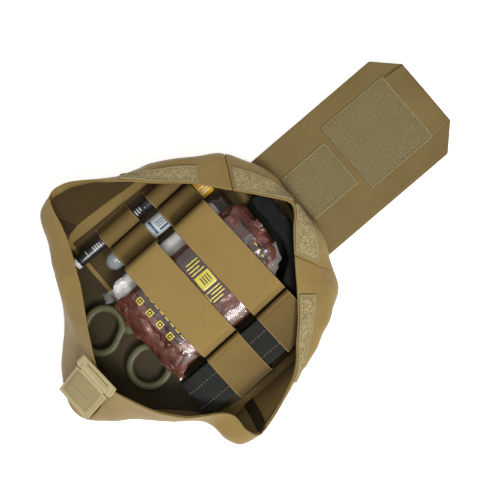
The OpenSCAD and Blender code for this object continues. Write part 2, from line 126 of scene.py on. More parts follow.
def wall_point(u, v):
    """Points of the wall's outer face at stations u and levels v, 0 at the base and 3 at the rim."""
    u, v = np.broadcast_arrays(np.asarray(u, float), np.asarray(v, float))
    w = np.mod(u, STATIONS)
    i = np.floor(w).astype(int)
    f = (w - i)[..., None]
    ring = [blend4(r[(i - 1) % STATIONS], r[i % STATIONS], r[(i + 1) % STATIONS], r[(i + 2) % STATIONS], f)
            for r in RINGS]
    ring = [2 * ring[0] - ring[1], *ring, 2 * ring[3] - ring[2]]
    stack = np.stack(ring)
    k = np.clip(np.floor(v).astype(int), 0, 2)
    f = (v - k)[..., None]
    take = [np.take_along_axis(stack, (k + n)[None, ..., None], 0)[0] for n in range(4)]
    return blend4(*take, f)


def wall_normal(u, v):
    """Outward unit normals of the wall."""
    e = 0.04
    v = np.asarray(v, float)
    du = wall_point(np.asarray(u) + e, v) - wall_point(np.asarray(u) - e, v)
    dv = wall_point(u, np.minimum(v + e, 3)) - wall_point(u, np.maximum(v - e, 0))
    return unit(np.cross(dv, du))


def resample(line, step):
    """Points at an even step along a line, and the tangent at each."""
    line = np.array(line, float)
    d = run_length(line)
    s = np.linspace(0, d[-1], max(2, int(round(d[-1] / step)) + 1))
    p = np.stack([np.interp(s, d, line[:, k]) for k in range(line.shape[1])], 1)
    return p, unit(np.gradient(p, axis=0))


def noise_field(points, scale, offset, value_at):
    """value_at of each point, in a noise space where one step is `scale` metres."""
    points = np.asarray(points)
    shift = Vector((offset, offset * 0.7, -offset))
    values = [value_at(Vector(p) + shift) for p in points.reshape(-1, 3) / scale]
    return np.array(values).reshape(points.shape[:-1])


def bumpy(points, scale, octaves=3, offset=0.0):
    """Fractal noise from -1 to 1 at each point, with features of about `scale` metres."""
    return noise_field(points, scale, offset, lambda p: noise.fractal(p, 1.0, 2.0, octaves))


def creases(points, scale, offset=0.0):
    """Sharp folds: 0 on most of the surface, rising to 1 along crease lines."""
    def fold(p):
        nearest, second = noise.voronoi(p)[0][:2]
        return max(0.0, 1 - (second - nearest) * 4)
    return noise_field(points, scale, offset, fold)


def facets(x, y, cell, seed=0):
    """Heights from -1 to 1 of sharp triangular folds over a plane; x, y and cell share one unit."""
    heights = np.random.default_rng(seed).uniform(-1, 1, (64, 64))
    bend = 0.45 * np.sin(y / cell * 1.7 + seed), 0.45 * np.sin(x / cell * 1.3 + 2 * seed)
    turned = (0.82 * x - 0.57 * y) / cell + bend[0], (0.57 * x + 0.82 * y) / cell + bend[1]
    i, j = (np.floor(t).astype(int) for t in turned)
    u, v = turned[0] - i, turned[1] - j
    a, b, c, d = (heights[(i + m) % 64, (j + n) % 64] for m, n in ((0, 0), (1, 0), (0, 1), (1, 1)))
    near = a + u * (b - a) + v * (c - a)
    return np.where(u + v < 1, near, d + (1 - u) * (c - d) + (1 - v) * (b - d))


# ---- Mesh building ----

def add_piece(name, mesh, mat, body, replaces):
    """Puts a mesh in the scene as a piece that rides on a body."""
    mesh.shade_smooth()
    mesh.materials.append(mat)
    obj = bpy.data.objects.new(name, mesh)
    scene.collection.objects.link(obj)
    if body:
        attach(obj, body)
    if replaces:
        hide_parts(*replaces)
    return obj


def piece(name, verts, faces, mat, body, replaces=(), uv=None):
    """A mesh piece. uv holds one pair of metres for each vertex."""
    mesh = bpy.data.meshes.new(name)
    mesh.from_pydata([tuple(v) for v in np.asarray(verts, float)], [],
                     [tuple(int(i) for i in f) for f in faces])
    mesh.validate()
    if uv is not None:
        layer = mesh.uv_layers.new(name="UVMap")
        index = np.array([l.vertex_index for l in mesh.loops])
        layer.data.foreach_set("uv", np.asarray(uv, np.float32)[index].ravel())
    return add_piece(name, mesh, mat, body, replaces)


def grid_faces(nu, nv, closed_u=False, closed_v=False, base=0):
    """Quads of a grid with nu rows of nv points."""
    faces = []
    for i in range(nu if closed_u else nu - 1):
        for j in range(nv if closed_v else nv - 1):
            a, b = i * nv + j, ((i + 1) % nu) * nv + j
            c, d = ((i + 1) % nu) * nv + (j + 1) % nv, i * nv + (j + 1) % nv
            faces.append((base + a, base + b, base + c, base + d))
    return faces


def tube_faces(rows, around):
    """Faces of a closed tube of rows with `around` points each, and of its two ends."""
    last = (rows - 1) * around
    ends = [tuple(range(around))[::-1], tuple(last + k for k in range(around))]
    return grid_faces(rows, around, closed_v=True) + ends


def slab(top, bottom, edge=4):
    """A closed sheet from two grids of points, with a rounded edge of `edge` steps all round.
    Returns vertices, faces and the index of the source grid point of each vertex."""
    nu, nv = top.shape[:2]
    verts = [*top.reshape(-1, 3), *bottom.reshape(-1, 3)]
    source = [*range(nu * nv), *range(nu * nv)]
    faces = grid_faces(nu, nv) + [f[::-1] for f in grid_faces(nu, nv, base=nu * nv)]
    border = [(i, 0) for i in range(nu - 1)] + [(nu - 1, j) for j in range(nv - 1)]
    border += [(i, nv - 1) for i in range(nu - 1, 0, -1)] + [(0, j) for j in range(nv - 1, 0, -1)]
    loops = [[i * nv + j for i, j in border]]
    for k in range(1, edge):
        angle = math.pi * k / edge
        ring = []
        for i, j in border:
            t, b = top[i, j], bottom[i, j]
            mid, half = (t + b) / 2, (t - b) / 2
            inward = np.zeros(3)
            if i in (0, nu - 1):
                q = top[1, j] if i == 0 else top[nu - 2, j]
                inward += unit(q - t)
            if j in (0, nv - 1):
                q = top[i, 1] if j == 0 else top[i, nv - 2]
                inward += unit(q - t)
            ring.append(len(verts))
            out = -unit(inward) * np.linalg.norm(half)
            verts.append(mid + half * math.cos(angle) + out * math.sin(angle))
            source.append(i * nv + j)
        loops.append(ring)
    loops.append([nu * nv + i * nv + j for i, j in border])
    n = len(border)
    for upper, lower in zip(loops, loops[1:]):
        faces += [(upper[k], lower[k], lower[(k + 1) % n], upper[(k + 1) % n]) for k in range(n)]
    return np.array(verts), faces, np.array(source)


def outward(obj, weld=0.0):
    """Turns every face outward, and first joins points closer than weld."""
    work = bmesh.new()
    work.from_mesh(obj.data)
    if weld:
        bmesh.ops.remove_doubles(work, verts=work.verts, dist=weld)
    bmesh.ops.recalc_face_normals(work, faces=work.faces)
    work.to_mesh(obj.data)
    work.free()
    return obj


def sheet_piece(name, top, bottom, mat, body, slot, replaces=(), uv=None, edge=4):
    """A sheet with thickness, from grids of its two faces."""
    verts, faces, source = slab(top, bottom, edge)
    if uv is None:
        middle = top.shape[0] // 2, top.shape[1] // 2
        uv = np.stack(lattice(run_length(top[:, middle[1]]), run_length(top[middle[0]])), -1)
    return outward(piece(name, verts, faces, mat, body, replaces, uv.reshape(-1, 2)[source]))


def tube_mesh(line, radius, sides=8, up=(0, 0, 1), flat=1.0):
    """Vertices and faces of a closed tube along a line; radius may be one number or one per point."""
    line = np.array(line, float)
    n = len(line)
    radius = np.broadcast_to(np.asarray(radius, float), (n,))
    t = unit(np.gradient(line, axis=0))
    side = unit(np.cross(t, np.array(up, float)))
    top = np.cross(side, t)
    a = circle_angles(sides)
    ring = side[:, None] * np.cos(a)[None, :, None] + top[:, None] * np.sin(a)[None, :, None] * flat
    return (line[:, None] + ring * radius[:, None, None]).reshape(-1, 3), tube_faces(n, sides)


class Parts:
    """Collects small closed meshes that make one piece."""

    def __init__(self):
        self.verts, self.faces, self.count = [], [], 0

    def add(self, verts, faces):
        self.verts.append(np.asarray(verts, float))
        self.faces += [tuple(i + self.count for i in f) for f in faces]
        self.count += len(verts)

    def build(self, name, mat, body, slot, replaces=()):
        return outward(piece(name, np.vstack(self.verts), self.faces, mat, body, replaces))


def stitch_row(parts, line, up, pitch=3.0 * MM, length=2.1 * MM, radius=0.28 * MM):
    """Adds a row of stitches along a line to parts; up is one normal, or one at each point of the line."""
    line = np.array(line, float)
    up = np.broadcast_to(np.asarray(up, float), line.shape)
    both = np.hstack([line, up])
    d = run_length(line)
    for s in np.arange(pitch / 2, d[-1] - length / 2, pitch):
        at = s + np.array([-1, -0.4, 0.4, 1]) * length / 2
        ends = np.stack([np.interp(at, d, both[:, c]) for c in range(6)], 1)
        lift = np.array([-0.3, 0.7, 0.7, -0.3])[:, None] * radius * ends[:, 3:]
        thick = radius * np.array([0.6, 1, 1, 0.6])
        parts.add(*tube_mesh(ends[:, :3] + lift, thick, 6, ends[1, 3:]))


def lathe(name, profile, x, y0, z, mat, body, replaces=(), sides=64):
    """A round piece with its axis along Y. profile holds radius and distance from y0, in millimetres."""
    r, d = np.array(profile, float).T[:, :, None]
    a = circle_angles(sides)
    verts = xyz(x + r * np.cos(a), y0 + d, z + r * np.sin(a)).reshape(-1, 3) * MM
    closed = profile[0] == profile[-1]
    faces = grid_faces(len(profile), sides, closed_v=True) if closed else tube_faces(len(profile), sides)
    return outward(piece(name, verts, faces, mat, body, replaces), 1e-7 if closed else 0.0)


def sharpen(obj, angle=35):
    """Keeps edges sharper than an angle as hard edges."""
    obj.data.set_sharp_from_angle(angle=math.radians(angle))
    return obj


# ---- Materials ----

class Shade:
    """A principled material and short ways to add nodes to it."""

    def __init__(self, name, rough=0.6, metal=0.0, sheen=0.0, coat=0.0, coat_rough=0.2, alpha=1.0,
                 specular=0.5):
        self.mat = bpy.data.materials.new(name)
        self.mat.use_nodes = True
        self.tree = self.mat.node_tree
        self.shader = self.tree.nodes["Principled BSDF"]
        values = {"Roughness": rough, "Metallic": metal, "Sheen Weight": sheen, "Sheen Roughness": 0.5,
                  "Coat Weight": coat, "Coat Roughness": coat_rough, "IOR": 1.5, "Alpha": alpha,
                  "Specular IOR Level": specular}
        for socket, value in values.items():
            self.shader.inputs[socket].default_value = value
        self.height = None

    def add(self, kind, **settings):
        node = self.tree.nodes.new(kind)
        for key, value in settings.items():
            if key.startswith("in_"):
                key = int(key[3:]) if key[3:].isdigit() else key[3:].replace("_", " ")
                node.inputs[key].default_value = value
            else:
                setattr(node, key, value)
        return node

    def link(self, a, b):
        self.tree.links.new(a, b)

    def place(self, source="Object", scale=(1, 1, 1), turn=0.0):
        coord = self.add("ShaderNodeTexCoord")
        mapping = self.add("ShaderNodeMapping", in_Scale=scale, in_Rotation=(0, 0, turn))
        self.link(coord.outputs[source], mapping.inputs["Vector"])
        return mapping.outputs["Vector"]

    def noise(self, scale, detail=3.0, rough=0.6, source="Object", stretch=(1, 1, 1)):
        node = self.add("ShaderNodeTexNoise", in_Scale=scale, in_Detail=detail, in_Roughness=rough)
        self.link(self.place(source, stretch), node.inputs["Vector"])
        return node.outputs["Fac"]

    def wave(self, period, direction="X", source="UV", wobble=0.0):
        """Bands of one period in metres."""
        node = self.add("ShaderNodeTexWave", wave_type="BANDS", bands_direction=direction,
                        in_Scale=2 * math.pi / 20 / period, in_Distortion=wobble, in_Detail=2.0)
        node.inputs["Detail Scale"].default_value = 2.0
        self.link(self.place(source), node.inputs["Vector"])
        return node.outputs["Fac"]

    def math(self, how, a, b=None):
        node = self.add("ShaderNodeMath", operation=how)
        for k, value in enumerate((a, b)):
            if isinstance(value, (int, float)):
                node.inputs[k].default_value = value
            elif value is not None:
                self.link(value, node.inputs[k])
        return node.outputs[0]

    def ramp(self, fac, stops):
        node = self.add("ShaderNodeValToRGB")
        while len(node.color_ramp.elements) < len(stops):
            node.color_ramp.elements.new(0.5)
        for element, (at, colour) in zip(node.color_ramp.elements, stops):
            element.position = at
            element.color = (*colour, 1)
        self.link(fac, node.inputs["Fac"])
        return node.outputs["Color"]

    def mix(self, fac, a, b, how="MIX"):
        node = self.add("ShaderNodeMix", data_type="RGBA", blend_type=how)
        for socket, value in (("Factor", fac), ("A", a), ("B", b)):
            slot = [s for s in node.inputs if s.name == socket and s.enabled][0]
            if isinstance(value, (int, float)):
                slot.default_value = value
            elif isinstance(value, tuple):
                slot.default_value = (*value, 1)
            else:
                self.link(value, slot)
        return [s for s in node.outputs if s.enabled][0]

    def colour(self, value):
        self.link(value, self.shader.inputs["Base Color"])

    def rough(self, fac, low, high):
        node = self.add("ShaderNodeMapRange", in_3=low, in_4=high)
        self.link(fac, node.inputs[0])
        self.link(node.outputs[0], self.shader.inputs["Roughness"])

    def bump(self, height, depth):
        """Adds relief of a depth in metres."""
        node = self.add("ShaderNodeBump", in_Distance=depth, in_Strength=1.0)
        self.link(height, node.inputs["Height"])
        if self.height is not None:
            self.link(self.height, node.inputs["Normal"])
        self.height = node.outputs["Normal"]
        self.link(self.height, self.shader.inputs["Normal"])


def srgb(r, g, b):
    """A display colour from 0 to 255 as linear light."""
    return tuple(((c / 255 + 0.055) / 1.055) ** 2.4 if c > 10 else c / 255 / 12.92 for c in (r, g, b))


def shift(colour, k):
    return tuple(min(1.0, c * k) for c in colour)


def laminate(name, base, rough=0.55):
    """Smooth coated nylon: a faint plain weave, soft mottling, dull sheen."""
    weave, depth = 0.45 * MM, 0.02 * MM
    s = Shade(name, rough=rough, sheen=0.04, specular=0.25)
    cloud = s.noise(28, 4)
    fine = s.noise(1100, 2, 0.8)
    tone = s.ramp(cloud, [(0.3, shift(base, 0.84)), (0.7, shift(base, 1.13))])
    s.colour(s.mix(0.4, tone, s.ramp(fine, [(0.3, shift(base, 0.6)), (0.7, shift(base, 1.4))])))
    weave_x, weave_y = s.wave(weave, "X"), s.wave(weave, "Y")
    s.bump(s.math("MULTIPLY", weave_x, weave_y), depth)
    s.bump(s.noise(160, 3), 0.12 * MM)
    s.rough(cloud, rough - 0.06, rough + 0.08)
    return s.mat


def tape(name, base, pitch, depth, contrast=0.5, fuzz=900, wobble=1.2, grid=0.5):
    """Hook tape: rows of small bumps with a salt and pepper of light and dark."""
    s = Shade(name, rough=0.85, sheen=0.05, specular=0.2)
    rows = s.math("MULTIPLY", s.wave(pitch, "X", wobble=wobble), s.wave(pitch * 0.8, "Y", wobble=wobble))
    fluff = s.noise(fuzz, 3, 0.7)
    mixed = s.math("ADD", s.math("MULTIPLY", rows, grid), s.math("MULTIPLY", fluff, 1.15 - 0.8 * grid))
    dark, light = shift(base, 1 - contrast), shift(base, 1 + contrast)
    s.colour(s.ramp(mixed, [(0.3, dark), (0.5, base), (0.72, light)]))
    s.bump(mixed, depth)
    return s.mat


def fuzz_tape(name, base, contrast):
    """Loop tape: a felt of tiny loops, with painted light where they stand up and painted shade between them.
    """
    s = Shade(name, rough=0.9, sheen=0.05, specular=0.15)
    clumps, loops = s.noise(420, 4, 0.75), s.noise(1100, 2, 0.8)
    mixed = s.math("ADD", s.math("MULTIPLY", clumps, 0.6), s.math("MULTIPLY", loops, 0.4))
    dark, light = shift(base, 1 - contrast), shift(base, 1 + contrast)
    s.colour(s.ramp(mixed, [(0.38, dark), (0.5, base), (0.63, light)]))
    s.bump(mixed, 0.8 * MM)
    return s.mat


def webbing(name, base, rib=0.9 * MM, depth=0.1 * MM, vary=0.16, rough=0.75, sheen=0.04, spark=0.2, painted_shade=()):
    """Woven narrow fabric: ribs across the width, fine yarns along it. The last argument holds pairs of X, in
    metres,
    and brightness: painted shade that darkens the band along X where shadow falls on it."""
    s = Shade(name, rough=rough, sheen=sheen, specular=0.2)
    ribs = s.wave(rib, "X", wobble=0.4)
    yarns = s.wave(rib * 0.6, "Y", wobble=0.3)
    weave = s.math("MULTIPLY", ribs, yarns)
    grain = s.noise(1500, 2, 0.7)
    cloud = s.noise(35, 3)
    tone = s.ramp(weave, [(0.1, shift(base, 1 - vary)), (0.8, shift(base, 1 + vary))])
    tone = s.mix(spark, tone, s.ramp(grain, [(0.35, shift(base, 0.6)), (0.7, shift(base, 1.5))]))
    tone = s.mix(0.25, tone, s.ramp(cloud, [(0.3, shift(base, 0.8)), (0.7, shift(base, 1.15))]))
    # Painted shade: the colour is multiplied darker along X by the pairs of the last argument.
    if painted_shade:
        split = s.add("ShaderNodeSeparateXYZ")
        s.link(s.place(), split.inputs[0])
        share = s.math("MULTIPLY", s.math("ADD", split.outputs["X"], 0.15), 1 / 0.3)
        grey = s.ramp(share, [((x + 0.15) / 0.3, (k, k, k)) for x, k in painted_shade])
        tone = s.mix(1.0, tone, grey, "MULTIPLY")
    s.colour(tone)
    s.bump(weave, depth)
    return s.mat


def plastic(name, base, rough=0.35, coat=0.2, grain=0.03 * MM):
    """Moulded plastic: fine grain, faint scuffs in its gloss."""
    s = Shade(name, rough=rough, coat=coat)
    cloud = s.noise(90, 4)
    s.colour(s.ramp(cloud, [(0.3, shift(base, 0.88)), (0.7, shift(base, 1.12))]))
    s.rough(s.noise(400, 3), rough * 0.8, rough * 1.3)
    s.bump(s.noise(1800, 2), grain)
    return s.mat


def steel(name, base, rough=0.28):
    """Brushed steel with fine lines along Y."""
    s = Shade(name, rough=rough, metal=1.0)
    lines = s.noise(900, 2, 0.5, stretch=(1, 0.03, 1))
    s.colour(s.ramp(lines, [(0.3, shift(base, 0.8)), (0.7, shift(base, 1.1))]))
    s.rough(lines, rough * 0.7, rough * 1.5)
    s.bump(lines, 0.01 * MM)
    return s.mat


def clear(name, tint, alpha=0.2, rough=0.06, crinkle=0.0, scale=140):
    """Clear moulded plastic or film."""
    s = Shade(name, rough=rough, coat=1.0, coat_rough=0.03, alpha=alpha)
    s.colour(s.ramp(s.noise(60, 2), [(0.3, shift(tint, 0.9)), (0.7, tint)]))
    if crinkle:
        s.bump(s.noise(scale, 4, 0.7), crinkle)
    return s.mat


def foil(name, base, glint=0.5, rough=0.3):
    """Laminated foil drawn down by vacuum: glossy, with small sharp creases."""
    s = Shade(name, rough=rough, metal=0.15, coat=0.45, coat_rough=0.12)
    cloud = s.noise(70, 4, 0.6)
    s.colour(s.ramp(cloud, [(0.32, shift(base, 0.62)), (0.5, base), (0.68, shift(base, 1 + glint))]))
    s.rough(cloud, rough * 0.6, rough * 1.5)
    s.bump(s.noise(260, 4, 0.6), 0.25 * MM)
    return s.mat


ELASTIC_WEAVE = {"rib": 0.8 * MM, "depth": 0.05 * MM, "vary": 0.09, "spark": 0.12}
LOOKS = {
    "laminate": (laminate, (143, 119, 68), {}),
    "laminate_flap": (laminate, (118, 99, 55), {}),
    "lining": (laminate, (76, 60, 32), {"rough": 0.5}),
    # The lighter lining copy is painted light, for the inner faces of the right and front-right walls.
    "lining_lit": (laminate, (148, 121, 74), {"rough": 0.5}),
    # floor_cloth is the lining darkened further: painted shade on the pouch's low front floor.
    "floor_cloth": (laminate, (58, 48, 25), {}),
    "hem": (laminate, (140, 118, 68), {}),
    "tab_pale": (laminate, (182, 166, 120), {}),
    "tab": (laminate, (172, 154, 106), {}),
    "label": (laminate, (190, 198, 202), {"rough": 0.4}),
    "loop": (fuzz_tape, (156, 140, 99), {"contrast": 0.55}),
    "hook": (tape, (139, 125, 86), {"pitch": 2.0 * MM, "depth": 0.6 * MM, "fuzz": 700, "wobble": 0.25,
                                    "grid": 0.75}),
    "hook_tab": (tape, (160, 145, 100), {"pitch": 1.6 * MM, "depth": 0.4 * MM, "contrast": 0.3, "fuzz": 1300,
                                         "wobble": 0.3}),
    "edge": (webbing, (156, 142, 103), {"rib": 1.0 * MM}),
    # Both elastic looks carry painted shade along X: darker over the marker and needle case, where the walls
    # and the pack shade the bands, and towards the right end under the right wall. The upper band's copy is
    # shaded more.
    "elastic": (webbing, (149, 123, 70), {**ELASTIC_WEAVE, "painted_shade": (
        (-0.1, 0.5), (-0.0565, 0.75), (-0.0545, 1.0), (0.05, 1.0), (0.062, 0.8), (0.09, 0.6), (0.101, 0.35))}),
    "elastic_upper": (webbing, (146, 120, 68), {**ELASTIC_WEAVE, "painted_shade": (
        (-0.1, 0.5), (-0.0565, 0.7), (-0.0545, 1.0), (0.05, 1.0), (0.062, 0.62), (0.09, 0.45), (0.101, 0.3))}),
    # The selvedge cords are a little lighter than the band: a painted highlight along the band edges.
    "selvedge": (webbing, (158, 133, 84), {"rib": 0.8 * MM, "depth": 0.08 * MM}),
    "back": (webbing, (112, 94, 62), {"rib": 1.4 * MM, "depth": 0.2 * MM}),
    # Dark seam tape. The same dark also stands as painted shadow in the pull tab's slot and notches.
    "seam": (webbing, (58, 46, 28), {"rib": 0.8 * MM}),
    "thread": (webbing, (120, 99, 62), {"rib": 0.5 * MM}),
    "thread_pale": (webbing, (150, 142, 104), {"rib": 0.5 * MM}),
    "felt": (webbing, (80, 80, 84), {"rib": 1.2 * MM}),
    "wad": (webbing, (250, 250, 246), {"rib": 2.4 * MM, "depth": 0.5 * MM, "vary": 0.04, "rough": 0.95,
                                       "spark": 0.08}),
    "gauze": (webbing, (246, 245, 240), {"rib": 1.6 * MM, "depth": 0.3 * MM, "vary": 0.07, "rough": 0.9,
                                         "spark": 0.1}),
    "black_webbing": (webbing, (46, 46, 45), {"rib": 1.3 * MM, "depth": 0.35 * MM, "vary": 0.42}),
    "black_knit": (webbing, (31, 31, 28), {"rib": 1.1 * MM, "depth": 0.3 * MM, "vary": 0.35, "rough": 0.9,
                                           "sheen": 0.0}),
    "keeper": (webbing, (176, 176, 168), {}),
    "snap": (plastic, (58, 56, 52), {"rough": 0.4}),
    "marker": (plastic, (34, 35, 37), {"rough": 0.32}),
    "marker_white": (plastic, (214, 214, 208), {"rough": 0.4}),
    "yellow": (plastic, (206, 158, 34), {"coat": 0.4}),
    "hub": (plastic, (214, 200, 166), {"rough": 0.4}),
    "ink_blue": (plastic, (52, 76, 118), {"rough": 0.4}),
    "ink_grey": (plastic, (96, 102, 108), {"rough": 0.4}),
    "print_yellow": (plastic, (212, 196, 46), {"rough": 0.3, "coat": 0.6}),
    "black_plastic": (plastic, (38, 39, 41), {"rough": 0.42}),
    "olive": (plastic, (80, 78, 44), {"rough": 0.5, "coat": 0.1, "grain": 0.05 * MM}),
    "steel": (steel, (200, 202, 206), {}),
    "clear": (clear, (200, 208, 208), {"alpha": 0.24}),
    "film": (clear, (226, 228, 224), {"alpha": 0.11, "rough": 0.08, "crinkle": 1.6 * MM, "scale": 240}),
    "foil": (foil, (100, 58, 47), {}),
    "foil_rose": (foil, (94, 51, 41), {}),
    "foil_print": (foil, (66, 44, 42), {"glint": 0.35}),
}
M = {name: kind(name, srgb(*tone), **options) for name, (kind, tone, options) in LOOKS.items()}
# The wad glows faintly: painted light that brightens the white cotton deep in its pocket.
wad_shader = M["wad"].node_tree.nodes["Principled BSDF"]
wad_shader.inputs["Emission Color"].default_value = (1, 1, 0.97, 1)
wad_shader.inputs["Emission Strength"].default_value = 0.12

# ---- Walls: five sewn sections, each with a lining, a folded hem and its seams ----

WALL_T = 1.4 * MM
SECTIONS = {
    "top": (-2, 2, ["wall_top", "hem_top"]),
    "right": (2, 6, ["wall_right", "hem_right"]),
    "front_right": (6, 11, ["wall_front_right", "hem_front_right"]),
    "front_left": (11, 16, ["wall_front", "wall_front_left", "hem_front_left"]),
    "left": (16, 21, ["wall_left", "hem_left"]),
}
SEAM_GAP = 0.028


def shell_point(u, v, depth):
    """Points of the creased wall, at a depth outside its outer face."""
    p, n = wall_point(u, v), wall_normal(u, v)
    v = np.asarray(v, float)
    ease, rim_calm = np.clip(v / 0.8, 0, 1) ** 2, 1 - 0.55 * np.clip(v - 2, 0, 1)
    soft = 1.8 * MM * bumpy(p, 0.05, 2) + 0.5 * MM * bumpy(p, 0.02, 3, 4.0)
    soft += 1.3 * MM * creases(p * np.array([1, 1, 0.45]), 0.06, 2.6) - 0.3 * MM
    return p + n * ((soft * ease * rim_calm)[..., None] + np.asarray(depth)[..., None])


def shell_sheet(name, span, levels, depths, size, mat, slot, replaces=(), inner=None):
    """A sheet sewn to the wall between two depths. inner is the material of its inner face."""
    u, v = lattice(np.linspace(*span, size[0]), np.linspace(*levels, size[1]))
    low, high = (shell_point(u, v, np.full(u.shape, d)) for d in depths)
    obj = sheet_piece(name, high, low, mat, "root", slot, replaces)
    if inner:
        obj.data.materials.append(inner)
        count = (size[0] - 1) * (size[1] - 1)
        for p in obj.data.polygons:
            if count <= p.index < 2 * count:
                p.material_index = 1
    return obj


def shell_line(u, v, depth, n=90):
    """A line on the wall; u and v are each one number or a pair."""
    span = [np.linspace(a[0], a[1], n) if isinstance(a, tuple) else np.full(n, float(a)) for a in (u, v)]
    return shell_point(*span, np.full(n, depth)), wall_normal(*span)


for key, (u0, u1, nodes) in SECTIONS.items():
    a, b = u0 + SEAM_GAP, u1 - SEAM_GAP
    size = (int((b - a) * 15), 40)
    # The right and front-right walls take the lighter lining: painted light on their inner faces.
    shell_sheet("shell_" + key, (a, b), (0, 3), (-WALL_T, 0), size, M["laminate"], "laminate_fabric",
                nodes, M["lining_lit" if key in ("right", "front_right") else "lining"])
    hem_depth = -WALL_T - 1.1 * MM
    shell_sheet("hem_fold_" + key, (a + 0.03, b - 0.03), (2.42, 2.97), (hem_depth, -WALL_T - 0.1 * MM),
                (size[0], 9), M["hem"], "hem_tape")
    thread = Parts()
    line, up = shell_line((a + 0.05, b - 0.05), 2.5, hem_depth)
    stitch_row(thread, line, -up)
    thread.build("hem_stitches_" + key, M["thread"], "root", "hem_tape")

for k, (u, _, _) in enumerate(SECTIONS.values()):
    line, out = shell_line(u, (0.04, 2.99), -WALL_T - 0.7 * MM, 60)
    side = unit(shell_line(u + 0.1, (0.04, 2.99), -WALL_T - 0.7 * MM, 60)[0] - line)
    grid = line[:, None] + side[:, None] * np.linspace(-5 * MM, 5 * MM, 7)[None, :, None]
    sheet_piece(f"seam_tape_{k}", grid + out[:, None] * 0.5 * MM, grid - out[:, None] * 0.5 * MM,
                M["seam"], "root", "hem_tape", edge=3)

seam = Parts()
for u in (12, 12.08):
    stitch_row(seam, *shell_line(u, (0.1, 2.4), 0))
seam.build("front_seam_stitches", M["thread"], "root", "hem_tape")

LOOP_PATCHES = {
    "top_left": (-1.9, -0.1, 2.1, 2.95), "top_right": (0.1, 1.9, 2.1, 2.95),
    "left": (18.1, 20.2, 2.35, 2.95), "right": (2.9, 5, 2.5, 2.95),
}
PATCH_TOP, STITCH_U, STITCH_V = 1.5 * MM, 0.045, 0.09


def patch_sides(u0, u1, v0, v1, in_u=0.0, in_v=0.0):
    """The four sides of a patch, each as stations and levels, moved inward."""
    return (((u0, u1), v0 + in_v), ((u0, u1), v1 - in_v), (u0 + in_u, (v0, v1)), (u1 - in_u, (v0, v1)))


for key, span in LOOP_PATCHES.items():
    shell_sheet("loop_" + key, span[:2], span[2:], (0.1 * MM, PATCH_TOP), (60, 16), M["loop"], "loop_tape",
                ["loop_patch_" + key])
    rim_tape, thread = Parts(), Parts()
    for u, v in patch_sides(*span):
        line, up = shell_line(u, v, PATCH_TOP - 0.25 * MM)
        rim_tape.add(*tube_mesh(line, 0.9 * MM, 8, up[len(up) // 2], 0.7))
    for u, v in patch_sides(*span, STITCH_U, STITCH_V):
        stitch_row(thread, *shell_line(u, v, PATCH_TOP), 2.6 * MM, 1.7 * MM, 0.3 * MM)
    rim_tape.build("loop_edge_" + key, M["edge"], "root", "loop_tape")
    thread.build("loop_stitches_" + key, M["thread_pale"], "root", "loop_tape")


# ---- Plates: outlines run up in height with rounded edges ----

STAY = Matrix.Identity(4)


def plate(name, outline, z0, z1, mat, body, replaces=(), bevel=0.4 * MM, holes=(), place=STAY):
    """A flat piece from an outline in metres, with rounded edges. place moves it from its flat drawing."""
    work = bmesh.new()
    edges = []
    for loop in (outline, *holes):
        verts = [work.verts.new((x, y, z0)) for x, y in loop]
        edges += [work.edges.new((verts[i], verts[(i + 1) % len(verts)])) for i in range(len(verts))]
    bmesh.ops.triangle_fill(work, use_beauty=True, edges=edges)
    bmesh.ops.dissolve_limit(work, angle_limit=0.01, verts=work.verts, edges=work.edges)
    made = bmesh.ops.extrude_face_region(work, geom=work.faces[:])
    raised = [g for g in made["geom"] if isinstance(g, bmesh.types.BMVert)]
    bmesh.ops.translate(work, vec=(0, 0, z1 - z0), verts=raised)
    bmesh.ops.recalc_face_normals(work, faces=work.faces)
    level = [e for e in work.edges if abs(e.verts[0].co.z - e.verts[1].co.z) < 1e-7]
    rims = [e for e in level if e.calc_face_angle(0) > 0.5]
    bmesh.ops.bevel(work, geom=rims, offset=bevel, segments=3, profile=0.5, affect="EDGES",
                    clamp_overlap=True)
    bmesh.ops.transform(work, matrix=place, verts=work.verts)
    mesh = bpy.data.meshes.new(name)
    layer = work.loops.layers.uv.new("UVMap")
    back = place.inverted()
    for face in work.faces:
        for loop in face.loops:
            loop[layer].uv = (back @ loop.vert.co).xy
    work.to_mesh(mesh)
    work.free()
    return sharpen(add_piece(name, mesh, mat, body, replaces), 40)


def inset(outline, d):
    """An outline moved inward by d; the outline runs anticlockwise."""
    p = np.array(outline, float)
    before, after = unit(p - np.roll(p, 1, 0)), unit(np.roll(p, -1, 0) - p)
    nb = np.stack([-before[:, 1], before[:, 0]], 1)
    n = nb + np.stack([-after[:, 1], after[:, 0]], 1)
    return p + n / np.maximum((n * nb).sum(1), 0.3)[:, None] * d


def outline_stitches(parts, outline, z, up=(0, 0, 1), place=STAY, **how):
    """Stitches along a closed outline in metres; place moves them from their flat drawing."""
    line = resample(xyz(*np.vstack([outline, outline[:1]]).T, z), 1.5 * MM)[0]
    m = np.array(place)
    stitch_row(parts, line @ m[:3, :3].T + m[:3, 3], m[:3, :3] @ np.array(up, float), **how)


def box_outline(x0, x1, y0, y1):
    return np.array([(x0, y0), (x1, y0), (x1, y1), (x0, y1)], float)


# ---- Back: panel, rows and straps of webbing ----

PANEL_Z, PANEL_T, WEB_W, TACK_PITCH = 2.6 * MM, 2 * MM, 25 * MM, 38
FLAP_HALF, FLAP_X, ROOT_Y, FOLD_Y, END_Y = 57 * MM, 1.4 * MM, 143 * MM, 203 * MM, 303 * MM

base_outline = wall_point(np.arange(0, STATIONS, 1 / 4), 0)[:, :2][::-1]
plate("back_sheet", base_outline, PANEL_Z, PANEL_Z + PANEL_T, M["laminate"], "root",
      ["back_panel"], 0.5 * MM)
thread = Parts()
for gap in (4 * MM, 6 * MM):
    outline_stitches(thread, inset(base_outline, gap), PANEL_Z, (0, 0, -1))
thread.build("back_stitches", M["thread"], "root", "hem_tape")


